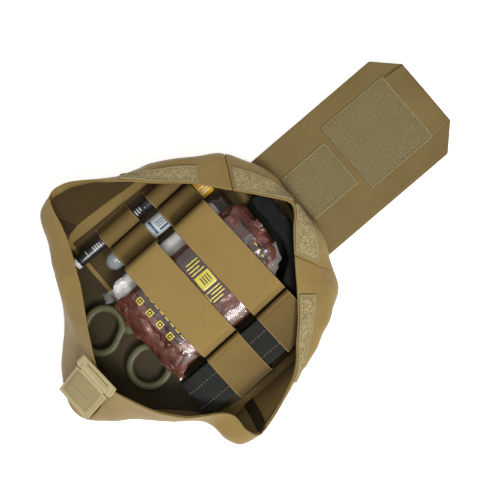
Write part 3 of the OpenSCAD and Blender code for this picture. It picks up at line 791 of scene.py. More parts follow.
def web_strip(name, line, side, replaces, thick):
    """A strip of back webbing along a line, `side` being the direction across it."""
    line, t = resample(line, 1.5 * MM)
    side = np.array(side, float)
    up = unit(np.cross(side, t))
    across = np.linspace(-0.5, 0.5, 11) * WEB_W
    swell = 1 - 0.35 * np.clip((np.abs(across) - 0.46 * WEB_W) / (0.04 * WEB_W), 0, 1)
    mid = line[:, None] + side[None, None] * across[None, :, None]
    half = up[:, None] * (thick / 2 * swell)[None, :, None]
    return sheet_piece(name, mid + half, mid - half, M["back"], "root", "back_webbing", replaces)


ROW_END, ROW_LOW, ROW_ARCH = 95, 1.55, 0.55
for key, y in (("upper", 50), ("middle", 0), ("lower", -50)):
    xs = np.arange(-98, 98.5, 2)
    arch = np.sin((xs + ROW_END) % TACK_PITCH / TACK_PITCH * math.pi) ** 0.6
    z = ROW_LOW - ROW_ARCH * arch * (np.abs(xs) <= ROW_END)
    web_strip("row_" + key, xyz(xs, y, z) * MM, (0, 1, 0), ["back_webbing_" + key], 1.2 * MM)
    tack = Parts()
    for x in range(-ROW_END, ROW_END + 1, TACK_PITCH):
        zig = [(x + (0.9 if k % 2 else -0.9), y - 11 + k * 0.55, 0.95) for k in range(41)]
        tack.add(*tube_mesh(np.array(zig) * MM, 0.3 * MM, 6))
    tack.build("row_tacks_" + key, M["thread"], "root", "back_webbing")

STITCH_Z = 1.4
for key, x in (("left", -38), ("right", 38)):
    line = np.array([(x, -84, 1.95), (x, 84, 1.95)]) * MM
    web_strip("carrier_" + key, line, (1, 0, 0), ["back_strap_" + key], 1.1 * MM)
    tack = Parts()
    outline_stitches(tack, box_outline(x - 10, x + 10, 71, 82) * MM, STITCH_Z * MM, (0, 0, -1))
    for y0, y1 in ((71, 82), (82, 71)):
        cross = np.array([(x - 10, y0, STITCH_Z), (x + 10, y1, STITCH_Z)]) * MM
        stitch_row(tack, resample(cross, 1.5 * MM)[0], (0, 0, -1))
    tack.build("carrier_stitches_" + key, M["thread"], "root", "back_webbing")

low_floor = np.array([p for p in inset(base_outline, 1.5 * MM) if p[1] < -47 * MM])
# The floor lining's darker cloth is painted shade on the pouch's low front floor.
plate("floor_lining", low_floor, 4.62 * MM, 4.95 * MM, M["floor_cloth"], "root",
      bevel=0.1 * MM)

# ---- Organiser panel and the elastic bands ----

ORG_OUTLINE = np.array([(-107, -46), (104, -46), (109, -20), (107, 40), (101, 76), (86, 95), (-62, 95),
                        (-80, 88), (-104, 56)]) * MM
plate("organiser_sheet", ORG_OUTLINE, FLOOR_Z * MM + 0.1 * MM, ORGANISER_Z * MM, M["lining"], "root",
      ["organiser_panel"], 0.5 * MM)
thread = Parts()
outline_stitches(thread, inset(ORG_OUTLINE, 3.5 * MM), (ORGANISER_Z - 0.1) * MM, radius=0.2 * MM)
thread.build("organiser_stitches", M["thread"], "root", "hem_tape")

MARKER_X, MARKER_Z, MARKER_R = -89.5, 12.8, 6.2
CASE_X, CASE_Z, CASE_R = -68, 16.4, 8.6
ELASTIC_W, ELASTIC_T = 38, 1.4


def band_line(start, end):
    """Side view of a band: down to the organiser between the things that it holds, and over them."""
    foot = ORGANISER_Z + ELASTIC_T / 2 + 0.05
    over_marker = arc(MARKER_X, MARKER_Z, MARKER_R + 2, range(200, -21, -20))
    over_case = arc(CASE_X, CASE_Z, CASE_R + 2, range(180, -1, -20))
    return ([(start, foot), (start + 3, foot)] + over_marker + [(-81, foot), (-79.2, foot)] + over_case
            + [(-57.2, foot), (-55.6, foot), (-55.2, 20), (-55.2, 42), (-53.8, 48.6), (-49, 52), (-30, 52.6),
               (0, 52.9), (30, 52.6), (46, 51.8), (52, 48), (54, 40), (54.2, 20), (54.4, foot), (56.6, foot),
               (57, 20), (57.2, 40), (57.8, 45), (60.4, 47), (78, 47.4), (95, 47), (98.8, 45.4),
               (end - 4.4, 38), (end - 3.6, 20), (end - 3.2, foot), (end, foot)])


def rounded(points, times=2):
    """Cuts the corners of an open line."""
    p = np.array(points, float)
    for _ in range(times):
        q = np.empty((2 * len(p) - 2, p.shape[1]))
        q[0::2] = p[:-1] * 0.75 + p[1:] * 0.25
        q[1::2] = p[:-1] * 0.25 + p[1:] * 0.75
        p = np.vstack([p[:1], q, p[-1:]])
    return p


def elastic_band(key, y, tilt, start, end):
    flat = resample(rounded(band_line(start, end)), 0.8)[0] * MM
    t = unit(np.gradient(flat, axis=0))
    half_w = ELASTIC_W / 2 * MM
    border = np.array([0.925, 0.945, 0.965, 0.985, 1])
    across = np.concatenate([-border[::-1], np.linspace(-0.9, 0.9, 19), border]) * half_w
    edge = np.clip((np.abs(across) / half_w - 0.93) / 0.07, 0, 1)
    swell = 1 + 0.22 * np.sin(edge * math.pi) - 0.25 * edge ** 3
    up = np.column_stack([-t[:, 1], t[:, 0]])
    turn = math.radians(tilt)
    c, s = math.cos(turn), math.sin(turn)

    def place(x, z, a):
        return xyz(x * c - a * s, y * MM + x * s + a * c, z)

    xs, zs = flat[:, :1], flat[:, 1:]
    top_share = np.clip((zs - 40 * MM) / (8 * MM), 0, 1)
    sag = top_share * (0.5 * MM * bumpy(place(xs, zs, across), 0.05, 2, 2.0)
                       - 0.4 * MM * np.cos(across / half_w * math.pi / 2))
    half = ELASTIC_T / 2 * MM * swell[None]
    faces = [place(xs + k * half * up[:, :1], zs + sag + k * half * up[:, 1:], across) for k in (1, -1)]
    uv = np.stack(lattice(run_length(flat), across), -1)
    # The upper band takes the copy with more painted shade.
    look = M["elastic_upper" if key == "upper" else "elastic"]
    sheet_piece("elastic_" + key, *faces, look, "root", "elastic_webbing", ["elastic_band_" + key], uv)

    # Selvedge cords along both edges, in the lighter look: a painted highlight on the band edges.
    trim, thread = Parts(), Parts()
    for side in (-1, 1):
        line = place(flat[:, 0] + 0.42 * MM * up[:, 0], flat[:, 1] + 0.42 * MM * up[:, 1] + sag[:, 0],
                     side * (half_w - 0.35 * MM))
        trim.add(*tube_mesh(line, 0.5 * MM, 6, (0, side, 0.3)))
    trim.build("elastic_selvedge_" + key, M["selvedge"], "root", "elastic_webbing")

    raised = flat[:, 1] > 30 * MM
    for x, on_top in ((49.5, True), (62.5, True), (97.5, True), (start + 1.5, False), (end - 1.2, False)):
        near = np.argmin(np.abs(flat[:, 0] - x * MM) + (raised != on_top))
        line = place(*flat[near], np.linspace(-0.95, 0.95, 60) * half_w)
        normal = place(*up[near], 0.0) - place(0.0, 0.0, 0.0)
        stitch_row(thread, line + normal * 0.72 * MM, normal, 2.6 * MM, 1.5 * MM, 0.22 * MM)
    thread.build("elastic_stitches_" + key, M["thread"], "root", "elastic_webbing")


elastic_band("upper", 59, 2.5, -102.5, 104.5)
elastic_band("lower", 0.5, 1.5, -104, 108)

# ---- Flap: cloth, hook tape and the pull strip ----

FLAP_Z, FLAP_T = 3.6 * MM, 1.6 * MM
CHAMFER = 22 * MM
JOIN_Y = 196 * MM


def flap_half_width(y):
    return FLAP_HALF - np.clip(np.asarray(y, float) - (END_Y - CHAMFER), 0, CHAMFER)


def flap_sheet(name, y0, y1, replaces):
    """Part of the flap's cloth, a sheet from y0 to y1."""
    ys = np.linspace(y0, y1, int((y1 - y0) / (1.6 * MM)))
    across = np.concatenate([[-1, -0.985, -0.96], np.linspace(-0.93, 0.93, 33), [0.96, 0.985, 1]])
    x = FLAP_X + across[None] * flap_half_width(ys)[:, None]
    y = np.broadcast_to(ys[:, None], x.shape)
    wave = 0.3 * MM * bumpy(xyz(x, y), 0.045, 2, 8.0)
    fade = np.clip((y - (ROOT_Y - 4 * MM)) / (6 * MM), 0, 1)
    z = FLAP_Z + wave * fade
    swell = (1 + 0.25 * np.clip((np.abs(across) - 0.93) / 0.04, 0, 1) * (np.abs(across) < 0.98))[None]
    top, low = (xyz(x, y, z + k * FLAP_T / 2 * swell) for k in (1, -1))
    obj = sheet_piece(name, top, low, M["laminate_flap"], None, "laminate_fabric", replaces,
                      np.stack([x, y], -1))
    for v in obj.data.vertices:
        v.co.y = max(v.co.y, y0)
        if y1 < END_Y:
            v.co.y = min(v.co.y, y1)
    sharpen(obj, 60)
    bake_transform(obj)
    return obj


flap_sheet("flap_root_cloth", 128 * MM, JOIN_Y,
           ["flap_lower"])
flap_sheet("flap_end_cloth", JOIN_Y, END_Y,
           ["flap_upper"])


def hook_tape(key, w, y0, y1, body):
    z0 = FLAP_Z + FLAP_T / 2 + 0.05 * MM
    outline = box_outline(-w / 2, w / 2, y0, y1)
    x, y = lattice(np.linspace(-w / 2, w / 2, 60), np.linspace(y0, y1, 60))
    rise = 0.12 * MM * bumpy(xyz(x, y), 0.02, 2)
    border = np.minimum(np.minimum(x + w / 2, w / 2 - x), np.minimum(y - y0, y1 - y))
    press = 0.35 * MM * np.exp(-((border - 2.2 * MM) / (1.1 * MM)) ** 2)
    sheet_piece("hook_" + key, xyz(x, y, z0 + 1.05 * MM + rise - press), xyz(x, y, z0), M["hook"], body,
                "hook_tape", ["hook_panel_" + key], np.stack([x, y], -1))
    trim, thread = Parts(), Parts()
    loop = np.vstack([inset(outline, 0.7 * MM), inset(outline, 0.7 * MM)[:1]])
    for a, b in zip(loop, loop[1:]):
        line = resample(np.array([(*a, z0 + 0.85 * MM), (*b, z0 + 0.85 * MM)]), 1.0 * MM)[0]
        line[:, :2] += rng.normal(0, 0.14 * MM, (len(line), 2))
        trim.add(*tube_mesh(line, 0.42 * MM, 6, (0, 0, 1), 0.8))
    trim.build("hook_edge_" + key, M["edge"], body, "hook_tape")
    for gap in (2.2 * MM, 3.3 * MM):
        outline_stitches(thread, inset(outline, gap), z0 + 0.95 * MM, pitch=2.4 * MM, length=1.6 * MM,
                         radius=0.26 * MM)
    thread.build("hook_stitches_" + key, M["thread_pale"], body, "hook_tape")


hook_tape("small", 50 * MM, ROOT_Y + 1 * MM, FOLD_Y - 5 * MM, "flap_lower")
hook_tape("large", 75 * MM, FOLD_Y + 2 * MM, END_Y - CHAMFER, "flap_upper")

x, y = lattice(np.linspace(-1, 1, 41), np.linspace(0, 1, 25))
strip_x = FLAP_X + x * (36.5 * MM - 3 * MM * y)
strip_y = END_Y - CHAMFER + 0.4 * MM + y * (CHAMFER - 1.2 * MM)
strip_z = FLAP_Z + FLAP_T / 2 + 0.3 * MM + 0.8 * MM * np.abs(x) ** 6 * y
strip_z += 1.9 * MM * np.sin(y * math.pi * 0.62) * (0.55 + 0.45 * np.cos(x * 1.5))
top = xyz(strip_x, strip_y, strip_z + 1.0 * MM)
sheet_piece("pull_strip", top, top - (0, 0, 1.1 * MM), M["laminate_flap"], "flap_upper", "laminate_fabric",
            ["flap_pull_strip"], top[..., :2].copy())
thread = Parts()
for side in (-1, 1):
    line = xyz(FLAP_X + side * (FLAP_HALF - 3.5 * MM),
               np.linspace(FOLD_Y + 3 * MM, END_Y - CHAMFER - 1 * MM, 60), FLAP_Z + FLAP_T / 2)
    stitch_row(thread, line, (0, 0, 1), radius=0.2 * MM)
thread.build("flap_stitches", M["thread"], "flap_upper", "laminate_fabric")

# ---- Pull tab ----

TAB_FOOT = Vector((9, -140.7, 20.1)) * MM
TAB_PLACE = (Matrix.Translation(TAB_FOOT) @ Matrix.Rotation(math.radians(48), 4, "X")
             @ Matrix.Rotation(math.radians(5), 4, "Z"))
TAB_W, TAB_L, TAB_T = 38 * MM, 74 * MM, 1.4 * MM


def on_tab(points):
    m = np.array(TAB_PLACE)
    return np.asarray(points) @ m[:3, :3].T + m[:3, 3]


x, y = lattice(np.linspace(-TAB_W / 2, TAB_W / 2, 27), np.linspace(-9 * MM, 57 * MM, 46))
mid_z = TAB_T / 2 + 0.35 * MM * bumpy(xyz(x, y), 0.03, 2)
below = np.clip(-y / (3 * MM), 0, 1)[..., None]
grids = []
for sign in (1, -1):
    g = on_tab(xyz(x, y, mid_z + sign * TAB_T / 2))
    drop = xyz(g[..., 0], TAB_FOOT.y - 0.9 * (sign + 1) * MM, TAB_FOOT.z + y * 1.05)
    grids.append(g * (1 - below) + drop * below)
obj = sheet_piece("tab_cloth", *grids, M["tab"], None, "laminate_fabric", ["tab_strap"], np.stack([x, y], -1))
direction, TAB_UP = (TAB_PLACE.to_3x3() @ Vector(axis) for axis in ((0, 1, 0), (0, 0, 1)))
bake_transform(obj)

SLOT_Y, GRIP_TOP, HOOK_TOP = TAB_L - 7 * MM, TAB_T + 1.0 * MM, TAB_T + 1.2 * MM


def tab_plate(name, outline, z0, z1, look, bevel, replaces=(), holes=()):
    plate(name, outline, z0, z1, M[look], "pull_tab", replaces, bevel, holes, TAB_PLACE)


grip = np.array([(-19, 51), (19, 51), (19.2, 55), (22, 60), (21, 74), (-21, 74), (-22, 60), (-19.2, 55)]) * MM
slot_hole = box_outline(-13.5 * MM, 13.5 * MM, SLOT_Y, SLOT_Y + 3.2 * MM)
tab_plate("tab_grip_plate", grip, TAB_T * 0.2, GRIP_TOP, "tab_pale", 0.5 * MM, replaces=["tab_grip"],
          holes=[slot_hole])
# A dark sheet under the slot: painted shadow inside the folded grip.
fold = box_outline(-15 * MM, 15 * MM, SLOT_Y - 1.5 * MM, SLOT_Y + 4.7 * MM)
tab_plate("tab_slot_shadow", fold, -0.2 * MM, 0.3 * MM, "seam", 0.1 * MM)
# Short dark marks at both sides of the grip: painted shadow in the notches where the strap meets the grip.
for key, x0, x1 in (("left", -20.5, -14.5), ("right", 14.5, 20.5)):
    notch = box_outline(x0, x1, 54.6, 56) * MM
    tab_plate("tab_notch_shadow_" + key, notch, TAB_T + 0.9 * MM, TAB_T + 1.15 * MM, "seam", 0.08 * MM)
thread = Parts()
outline_stitches(thread, box_outline(-17, 17, 57, 65) * MM, GRIP_TOP, place=TAB_PLACE,
                 pitch=2.4 * MM, length=1.6 * MM, radius=0.22 * MM)
for side in (-1, 1):
    line = on_tab(xyz(side * 20.3 * MM, np.linspace(61, 73, 12) * MM, GRIP_TOP))
    stitch_row(thread, line, TAB_UP, 2.4 * MM, 1.6 * MM, 0.2 * MM)
thread.build("tab_grip_stitches", M["thread_pale"], "pull_tab", "tab_laminate")

patch = box_outline(-16, 14, 8, 52) * MM
tab_plate("tab_hook", patch, TAB_T + 0.2 * MM, HOOK_TOP, "hook_tab", 0.35 * MM,
          ["tab_hook_patch"])
thread = Parts()
outline_stitches(thread, inset(patch, 1.4 * MM), HOOK_TOP, place=TAB_PLACE, pitch=2.2 * MM,
                 length=1.5 * MM, radius=0.22 * MM)
cross = on_tab(xyz(np.linspace(-15, 13, 24) * MM, 27 * MM, HOOK_TOP))
stitch_row(thread, cross, TAB_UP, 2.2 * MM, 1.5 * MM, 0.22 * MM)
thread.build("tab_hook_stitches", M["thread_pale"], "pull_tab", "hook_tape")

# ---- Marker ----

MARKER_Y = -56
r = MARKER_R


def marker_part(name, profile, look, body, node):
    sharpen(lathe(name, profile, MARKER_X, MARKER_Y, MARKER_Z, M[look], body, [node]))


marker_part("marker_body", [(r - 1, 4.2), (r - 0.3, 4.1), (r, 4.6), (r, 9), (r - 0.18, 9.2), (r - 0.18, 9.9),
                            (r, 10.1), (r, 83.6), (r - 0.4, 84.2), (r - 0.9, 84.6), (r - 0.9, 92), (3, 93),
                            (3, 90), (r - 1, 88), (r - 1, 4.2)],
            "marker", "marker", "marker_barrel")
marker_part("marker_lid", [(r - 0.85, 85.3), (r - 0.2, 85.2), (r, 85.6), (r, 120), (r - 0.5, 122.4),
                           (r - 1.6, 123.7), (r - 3, 124), (0.01, 124), (0.01, 122), (r - 1.8, 121),
                           (r - 0.85, 93), (r - 0.85, 85.3)],
            "marker", "marker_cap", "marker_cap")
marker_part("marker_plug", [(r - 3, 0.2), (r - 1.3, 0), (r - 0.6, 0.5), (r - 0.3, 1.6), (r - 0.3, 4.1),
                            (r - 1.1, 4.3), (r - 1.1, 9)],
            "marker_white", "marker", "marker_end_plug")


def round_bar(x, z, radius, a0, a1, y0, y1):
    """A thin printed bar on a round surface, in millimetres, from a0 to a1 degrees and from y0 to y1."""
    a = np.radians(np.linspace(a0, a1, 8))[:, None]
    grids = [xyz(x + rr * np.cos(a), np.linspace(y0, y1, 3), z + rr * np.sin(a)) * MM
             for rr in (radius + 0.12, radius + 0.01)]
    return slab(*grids, edge=2)[:2]


bars = Parts()
bars.add(*round_bar(MARKER_X, MARKER_Z, r, 60, 125, -41, -40.4))
for y, a0, a1 in ((-33, 62, 112), (-30.6, 62, 112), (-28.2, 70, 112), (-25.8, 62, 104), (19, 62, 112),
                  (21.6, 62, 112), (24.2, 70, 112)):
    bars.add(*round_bar(MARKER_X, MARKER_Z, r, a0, a1, y, y + 0.8))
bars.build("marker_bars", M["marker_white"], "marker", "marker_plug")

# ---- Needle case ----

CASE_Y, CASE_L = -34, 110.3
c = CASE_R


def round_end(radius, y, steps=8):
    """Profile of the round closed end of a tube, from its tip."""
    quarter = np.linspace(0, math.pi / 2, steps + 1)
    return [(max(0.01, radius * math.sin(a)), y - radius * math.cos(a)) for a in quarter]


outer, inner = round_end(c, c), round_end(c - 1.1, c)
lathe("case_tube", outer + [(c, 60), (c, CASE_L), (c - 1.1, CASE_L)] + inner[::-1] + [outer[0]],
      CASE_X, CASE_Y, CASE_Z, M["clear"], "needle_case", ["needle_case_tube"])
LID_POINTS, LID_RIDGES = 144, 24
angles = circle_angles(LID_POINTS)
LID = np.array([(7.0, 0.5, 0), (9.2, 0, 0), (9.5, 0.6, 0.4), (9.55, 1.4, 1), (9.55, 11.6, 1), (9.5, 12.6, 0.5),
                (9.0, 13.5, 0), (7.6, 13.95, 0), (0.01, 14, 0), (0.01, 12, 0), (7.0, 12, 0), (7.0, 0.5, 0)])
rr = LID[:, :1] + LID[:, 2:] * 0.25 * np.cos(angles * LID_RIDGES)
verts = xyz(CASE_X + rr * np.cos(angles), CASE_Y + CASE_L + LID[:, 1:2], CASE_Z + rr * np.sin(angles)) * MM
outward(piece("case_lid", verts.reshape(-1, 3), grid_faces(len(LID), LID_POINTS, closed_v=True), M["yellow"],
              "needle_cap", ["needle_case_cap"]))
lathe("case_label", [(c + 0.05, 28), (c + 0.22, 28.1), (c + 0.22, 79.9), (c + 0.05, 80), (c + 0.05, 28)],
      CASE_X, CASE_Y, CASE_Z, M["label"], "needle_case", ["needle_label"])
print_blue, print_grey = Parts(), Parts()
for k, (y0, y1, a0, a1) in enumerate(((22, 24, 40, 140), (27, 38, 44, 58), (27, 38, 70, 76), (27, 38, 84, 90),
                                      (27, 36, 98, 104), (2, 12, 44, 58), (2, 12, 70, 76), (2, 10, 84, 90))):
    target = print_blue if k in (0, 1, 5) else print_grey
    target.add(*round_bar(CASE_X, CASE_Z, c + 0.22, a0, a1, y0, y1))
print_blue.build("case_print_blue", M["ink_blue"], "needle_case", "label_paper")
print_grey.build("case_print_grey", M["ink_grey"], "needle_case", "label_paper")

# ---- Gauze roll in its crinkled film ----

GAUZE_X, GAUZE_Z, GAUZE_R, GAUZE_Y, GAUZE_L = -41.5, 18.5, 10.5, -36, 116
ROLL_ROWS, ROLL_POINTS = 160, 72
angles = circle_angles(ROLL_POINTS)
ys = np.linspace(0, GAUZE_L, ROLL_ROWS)[:, None]
rr = GAUZE_R - 0.6 + 0.14 * np.sin(ys * 2.4) + 0 * angles
rr *= np.minimum(1, 0.72 + 0.28 * np.minimum(ys, GAUZE_L - ys) / 2.5) ** 0.5
rr += 0.5 * ((angles / (2 * math.pi) + 0.2) % 1)
grid = xyz(GAUZE_X + rr * np.cos(angles), GAUZE_Y + ys, GAUZE_Z + rr * np.sin(angles)) * MM
grid += 0.5 * MM * bumpy(grid, 0.008, 3)[..., None] * xyz(np.cos(angles), 0, np.sin(angles))
outward(piece("gauze_cloth", grid.reshape(-1, 3), tube_faces(ROLL_ROWS, ROLL_POINTS), M["gauze"],
                        "gauze", ["gauze_roll"]))


def crumpled_tube(name, stops, x, z, mat, replaces, rough_of, sides=96, per=1.2):
    """A closed tube along Y through stops of y, radius across and radius up, crumpled by rough_of(y)."""
    stops = np.array(stops, float)
    ys = np.arange(stops[0, 0], stops[-1, 0] + 0.01, per)[:, None]
    across, tall = (np.interp(ys, stops[:, 0], stops[:, k]) for k in (1, 2))
    a = circle_angles(sides)
    base = xyz(x + across * np.cos(a), ys, z + tall * np.sin(a)) * MM
    bump = 0.6 * bumpy(base, 0.007, 4, 3.0) + 0.7 * creases(base, 0.009, 5.0) + 0.5 * bumpy(base, 0.02, 2, 9.0)
    base += xyz(np.cos(a), 0, np.sin(a)) * (rough_of(ys) * bump * MM)[..., None]
    return outward(piece(name, base.reshape(-1, 3), tube_faces(len(ys), sides), mat, "gauze", replaces))


def film_rough(y):
    """The film is crumpled most past both ends of the roll."""
    return 0.35 + 2.6 * np.clip((-26 - y) / 14, 0, 1) + 2.2 * np.clip((y - 70) / 14, 0, 1)


wr = GAUZE_R + 1.0
crumpled_tube("gauze_film", [(-30, 10.4, 10.4), (-27, wr, wr), (78, wr, wr), (82, 9, 9), (86, 6, 5),
                             (91, 8, 3)],
              GAUZE_X, GAUZE_Z, M["film"], ["gauze_wrapper"], film_rough)
crumpled_tube("gauze_wad", [(-46, 2, 2), (-44.5, 6, 5.6), (-41, 9.4, 9), (-36, 11, 10.6), (-31, 10.8, 10.6),
                            (-29, 9.6, 9.6)],
              GAUZE_X + 0.6, GAUZE_Z + 2.2, M["wad"], [], lambda y: 1.5, per=0.5)

# ---- Bandage in its foil pack ----

PACK_X, PACK_Z, PACK_A, PACK_B = 7, 33.4, 44.3, 16.2
PACK_Y0, PACK_Y1, SEAL = -52, 102, 14
PACK_STEPS, PACK_SIDES = 200, 220
PACK_POWER = 2 / 3.6


def signed_power(x, power):
    return np.sign(x) * np.abs(x) ** power


def pack_point(a, y, lift=0.0):
    """Points of the pack's skin at angle a, in radians, and distance y, in millimetres; lift in metres."""
    a, y = np.broadcast_arrays(np.asarray(a, float), np.asarray(y, float))
    near = np.minimum(y - PACK_Y0, PACK_Y1 - y)
    t = np.sqrt(1 - (1 - np.clip(near / SEAL, 0, 1)) ** 2)
    half_a = 36 + (PACK_A - 36) * t
    half_b = 0.8 + (PACK_B - 0.8) * t
    mid_x, mid_z = 6 + (PACK_X - 6) * t, 30.5 + (PACK_Z - 30.5) * t
    ca, sa = np.cos(a), np.sin(a)
    dx, dz = signed_power(ca, PACK_POWER), signed_power(sa, PACK_POWER)
    p = xyz(mid_x + half_a * dx, y, mid_z + half_b * dz) * MM
    n = unit(xyz(signed_power(ca, 2 - PACK_POWER) / half_a, 0, signed_power(sa, 2 - PACK_POWER) / half_b))
    ends = np.clip(1 - (near - 4) / 26, 0, 1)
    amount = 0.35 + 1.9 * ends
    right_edge = np.interp(y, [74, 80, 92, 100, 102], [52, 42, 32, 22, 12])
    p[..., 0] = np.where(dx > 0, (mid_x + np.minimum(half_a, right_edge - mid_x) * dx) * MM, p[..., 0])
    around = p[..., 0] + 0.8 * p[..., 2]
    crush = 0.9 * facets(around, p[..., 1], 0.011, 3) + 0.45 * facets(around, p[..., 1], 0.005, 5)
    crush += 0.12 * bumpy(p, 0.005, 2, 6.0) - 0.4 * ends
    return p + n * ((crush * amount * MM)[..., None] - 0.5 * MM + np.asarray(lift)[..., None])


ys = np.linspace(PACK_Y0, PACK_Y1, PACK_STEPS)
grid = pack_point(circle_angles(PACK_SIDES), ys[:, None])
pack = outward(piece("pack_foil", grid.reshape(-1, 3), tube_faces(PACK_STEPS, PACK_SIDES), M["foil"], "bandage",
                     ["bandage_foil", "bandage_dressing"]))
sharpen(pack, 28)


def pack_angle(x):
    """Angle on the pack's upper skin that stands over x, in millimetres."""
    share = np.clip((np.asarray(x, float) - PACK_X) / PACK_A, -0.999, 0.999)
    return np.arccos(signed_power(share, 1 / PACK_POWER))


def pack_patch(x0, x1, y0, y1, lift, nx=10, ny=8, thick=0.12 * MM):
    """A printed patch on the upper skin."""
    x, y = lattice(np.linspace(x0, x1, nx), np.linspace(y0, y1, ny))
    a = pack_angle(x)
    return slab(pack_point(a, y, lift + thick), pack_point(a, y, lift - 0.1 * MM), 2)[:2]


panel, yellow = Parts(), Parts()
panel.add(*pack_patch(-33, 31, -27, 90, 0.15 * MM, 60, 110, 0.1 * MM))
panel.build("pack_label", M["foil_print"], "bandage", "brown_foil")
PRINT_LIFT = 0.35 * MM
for x0, y0, y1 in ((-20, 24, 37), (-16.6, 22, 37), (-13.2, 22, 34), (-9.8, 22, 37),
                   (11, 22, 38), (14.2, 25, 38), (17.4, 22, 38), (20.6, 22, 34)):
    yellow.add(*pack_patch(x0, x0 + 1, y0, y1, PRINT_LIFT, 4, 14))
yellow.add(*pack_patch(11, 20, 20.4, 21.2, PRINT_LIFT, 4, 14))
yellow.add(*pack_patch(-6, 8, 22, 38, PRINT_LIFT, 14, 16))
for k in range(8):
    x0 = -26 + k * 7.2
    yellow.add(*pack_patch(x0, x0 + 4.4, -20.4, -19.4, PRINT_LIFT, 6, 4))
for k in range(4):
    x0 = -26 + k * 14
    for dx0, dx1, dy0, dy1 in ((0, 6, 0, 0.8), (0, 6, 5.2, 6), (0, 0.8, 0, 6), (5.2, 6, 0, 6),
                               (2.2, 3.8, 2.2, 3.8)):
        yellow.add(*pack_patch(x0 + dx0, x0 + dx1, -31 + dy0, -31 + dy1, PRINT_LIFT, 5, 5))
for k in range(3):
    yellow.add(*pack_patch(4 + k * 8, 8 + k * 8, 85 - k, 86 - k, PRINT_LIFT, 5, 4))
yellow.build("pack_print", M["print_yellow"], "bandage", "brown_foil")
figure = Parts()
for y0 in (34, 31.4, 28.8, 26.2):
    figure.add(*pack_patch(-3.4, 5.4, y0, y0 + 1, 0.5 * MM, 6, 6))
figure.build("pack_figure", M["foil_print"], "bandage", "brown_foil")


LEAF_STEPS = 44


def crumpled_leaf(name, corners, mat, slot, amount, seed, thick=0.3 * MM, body="bandage"):
    """A creased four-cornered scrap of foil or film; corners run round it, in millimetres."""
    p = np.array(corners, float)
    s, t = (g[..., None] for g in lattice(np.linspace(0, 1, LEAF_STEPS), np.linspace(0, 1, LEAF_STEPS)))
    grid = (p[0] * (1 - s) * (1 - t) + p[1] * s * (1 - t) + p[2] * s * t + p[3] * (1 - s) * t) * MM
    n = unit(np.cross(p[1] - p[0], p[3] - p[0]))
    n *= 1 if n[2] > 0 else -1
    kind = int(abs(seed) * 10)
    x, y = grid[..., 0], grid[..., 1]
    fold = facets(x, y, 0.0075, kind) + 0.3 * facets(x, y, 0.003, kind + 1)
    grid = grid + n * (fold * amount * MM)[..., None]
    grid = grid + bumpy(grid, 0.006, 2, seed + 3)[..., None] * np.array([1.2, 1.2, 0.0]) * MM
    return sharpen(sheet_piece(name, grid + n * thick / 2, grid - n * thick / 2, mat, body, slot, edge=2), 25)


LEAVES = {
    "pack_fold_top_a": ([(-30, 80, 48.4), (-12, 80, 48.8), (-8, 98, 46), (-27, 97, 44)], "foil_rose", 1.2),
    "pack_fold_top_b": ([(-14, 80.5, 48.6), (4, 80, 48.6), (3, 101, 44), (-11, 101, 44)], "foil", 1.2),
    "pack_fold_top_c": ([(-3, 82, 48.9), (12, 80, 48.9), (11, 97, 47), (-1, 99, 47)], "foil_rose", 1.1),
    "pack_fold_low_a": ([(-35, -49, 39), (-17, -52, 38), (-14, -33, 50), (-34, -33, 48)], "foil_rose", 1.9),
    "pack_fold_low_b": ([(-18, -53, 38), (9, -51, 39), (12, -33, 50.4), (-15, -33, 50.4)], "foil", 2.0),
    "pack_fold_low_c": ([(8, -47, 42), (35, -51, 40), (37, -30, 50), (11, -33, 50.6)], "foil_rose", 2.1),
    "pack_fold_low_d": ([(30, -51, 38), (57, -49, 38), (50, -35, 42), (34, -26, 49)], "foil", 2.2),
    "pack_rose_scrap": ([(23, 20, 49.4), (36, 20, 49.4), (37, 40, 49.2), (24, 40, 49.4)], "foil_rose", 0.6),
}
for name, (corners, mat, amount) in LEAVES.items():
    crumpled_leaf(name, corners, M[mat], "brown_foil", amount, len(name) * 1.7 + corners[0][0])
FILMS = {
    "pack_film_low": ([(16, -41, 47), (46, -45, 42), (49, -22, 48), (26, -22, 51)], 1.3),
    "pack_film_top": ([(14, 80.5, 48.8), (39, 79.5, 47), (30, 95, 45), (16, 101, 43)], 1.2),
    "pack_film_edge": ([(37, 19.5, 49), (47, 19.5, 48), (48, 40, 48), (38, 40, 49)], 0.7),
}
for name, (corners, amount) in FILMS.items():
    crumpled_leaf(name, corners, M["film"], "clear_film", amount, corners[0][0] * 0.37)
crumpled_leaf("gauze_tail", [(-51, -53, 20), (-42, -57, 18), (-37, -44, 25), (-48, -41, 26)], M["film"],
              "clear_film", 1.9, 4.2, body="gauze")

# ---- Tourniquet, folded flat ----

STRAP_X, STRAP_W, STRAP_Y0, STRAP_Y1, STRAP_Z0, STRAP_H = 78.5, 38, -52, 70, 8, 36
STRAP_MID_Z = STRAP_Z0 + STRAP_H / 2
BEND_Y = STRAP_Y0 + STRAP_H / 2


def strap_loop(inset_mm):
    """Side view of the strap's loop, as closed points in Y and Z."""
    radius = STRAP_H / 2 - inset_mm
    far = arc(STRAP_Y1 - STRAP_H / 2, STRAP_MID_Z, radius, np.linspace(-90, 90, 19))
    near = arc(BEND_Y, STRAP_MID_Z, radius, np.linspace(90, 270, 19))
    return np.array(far + near + far[:1])


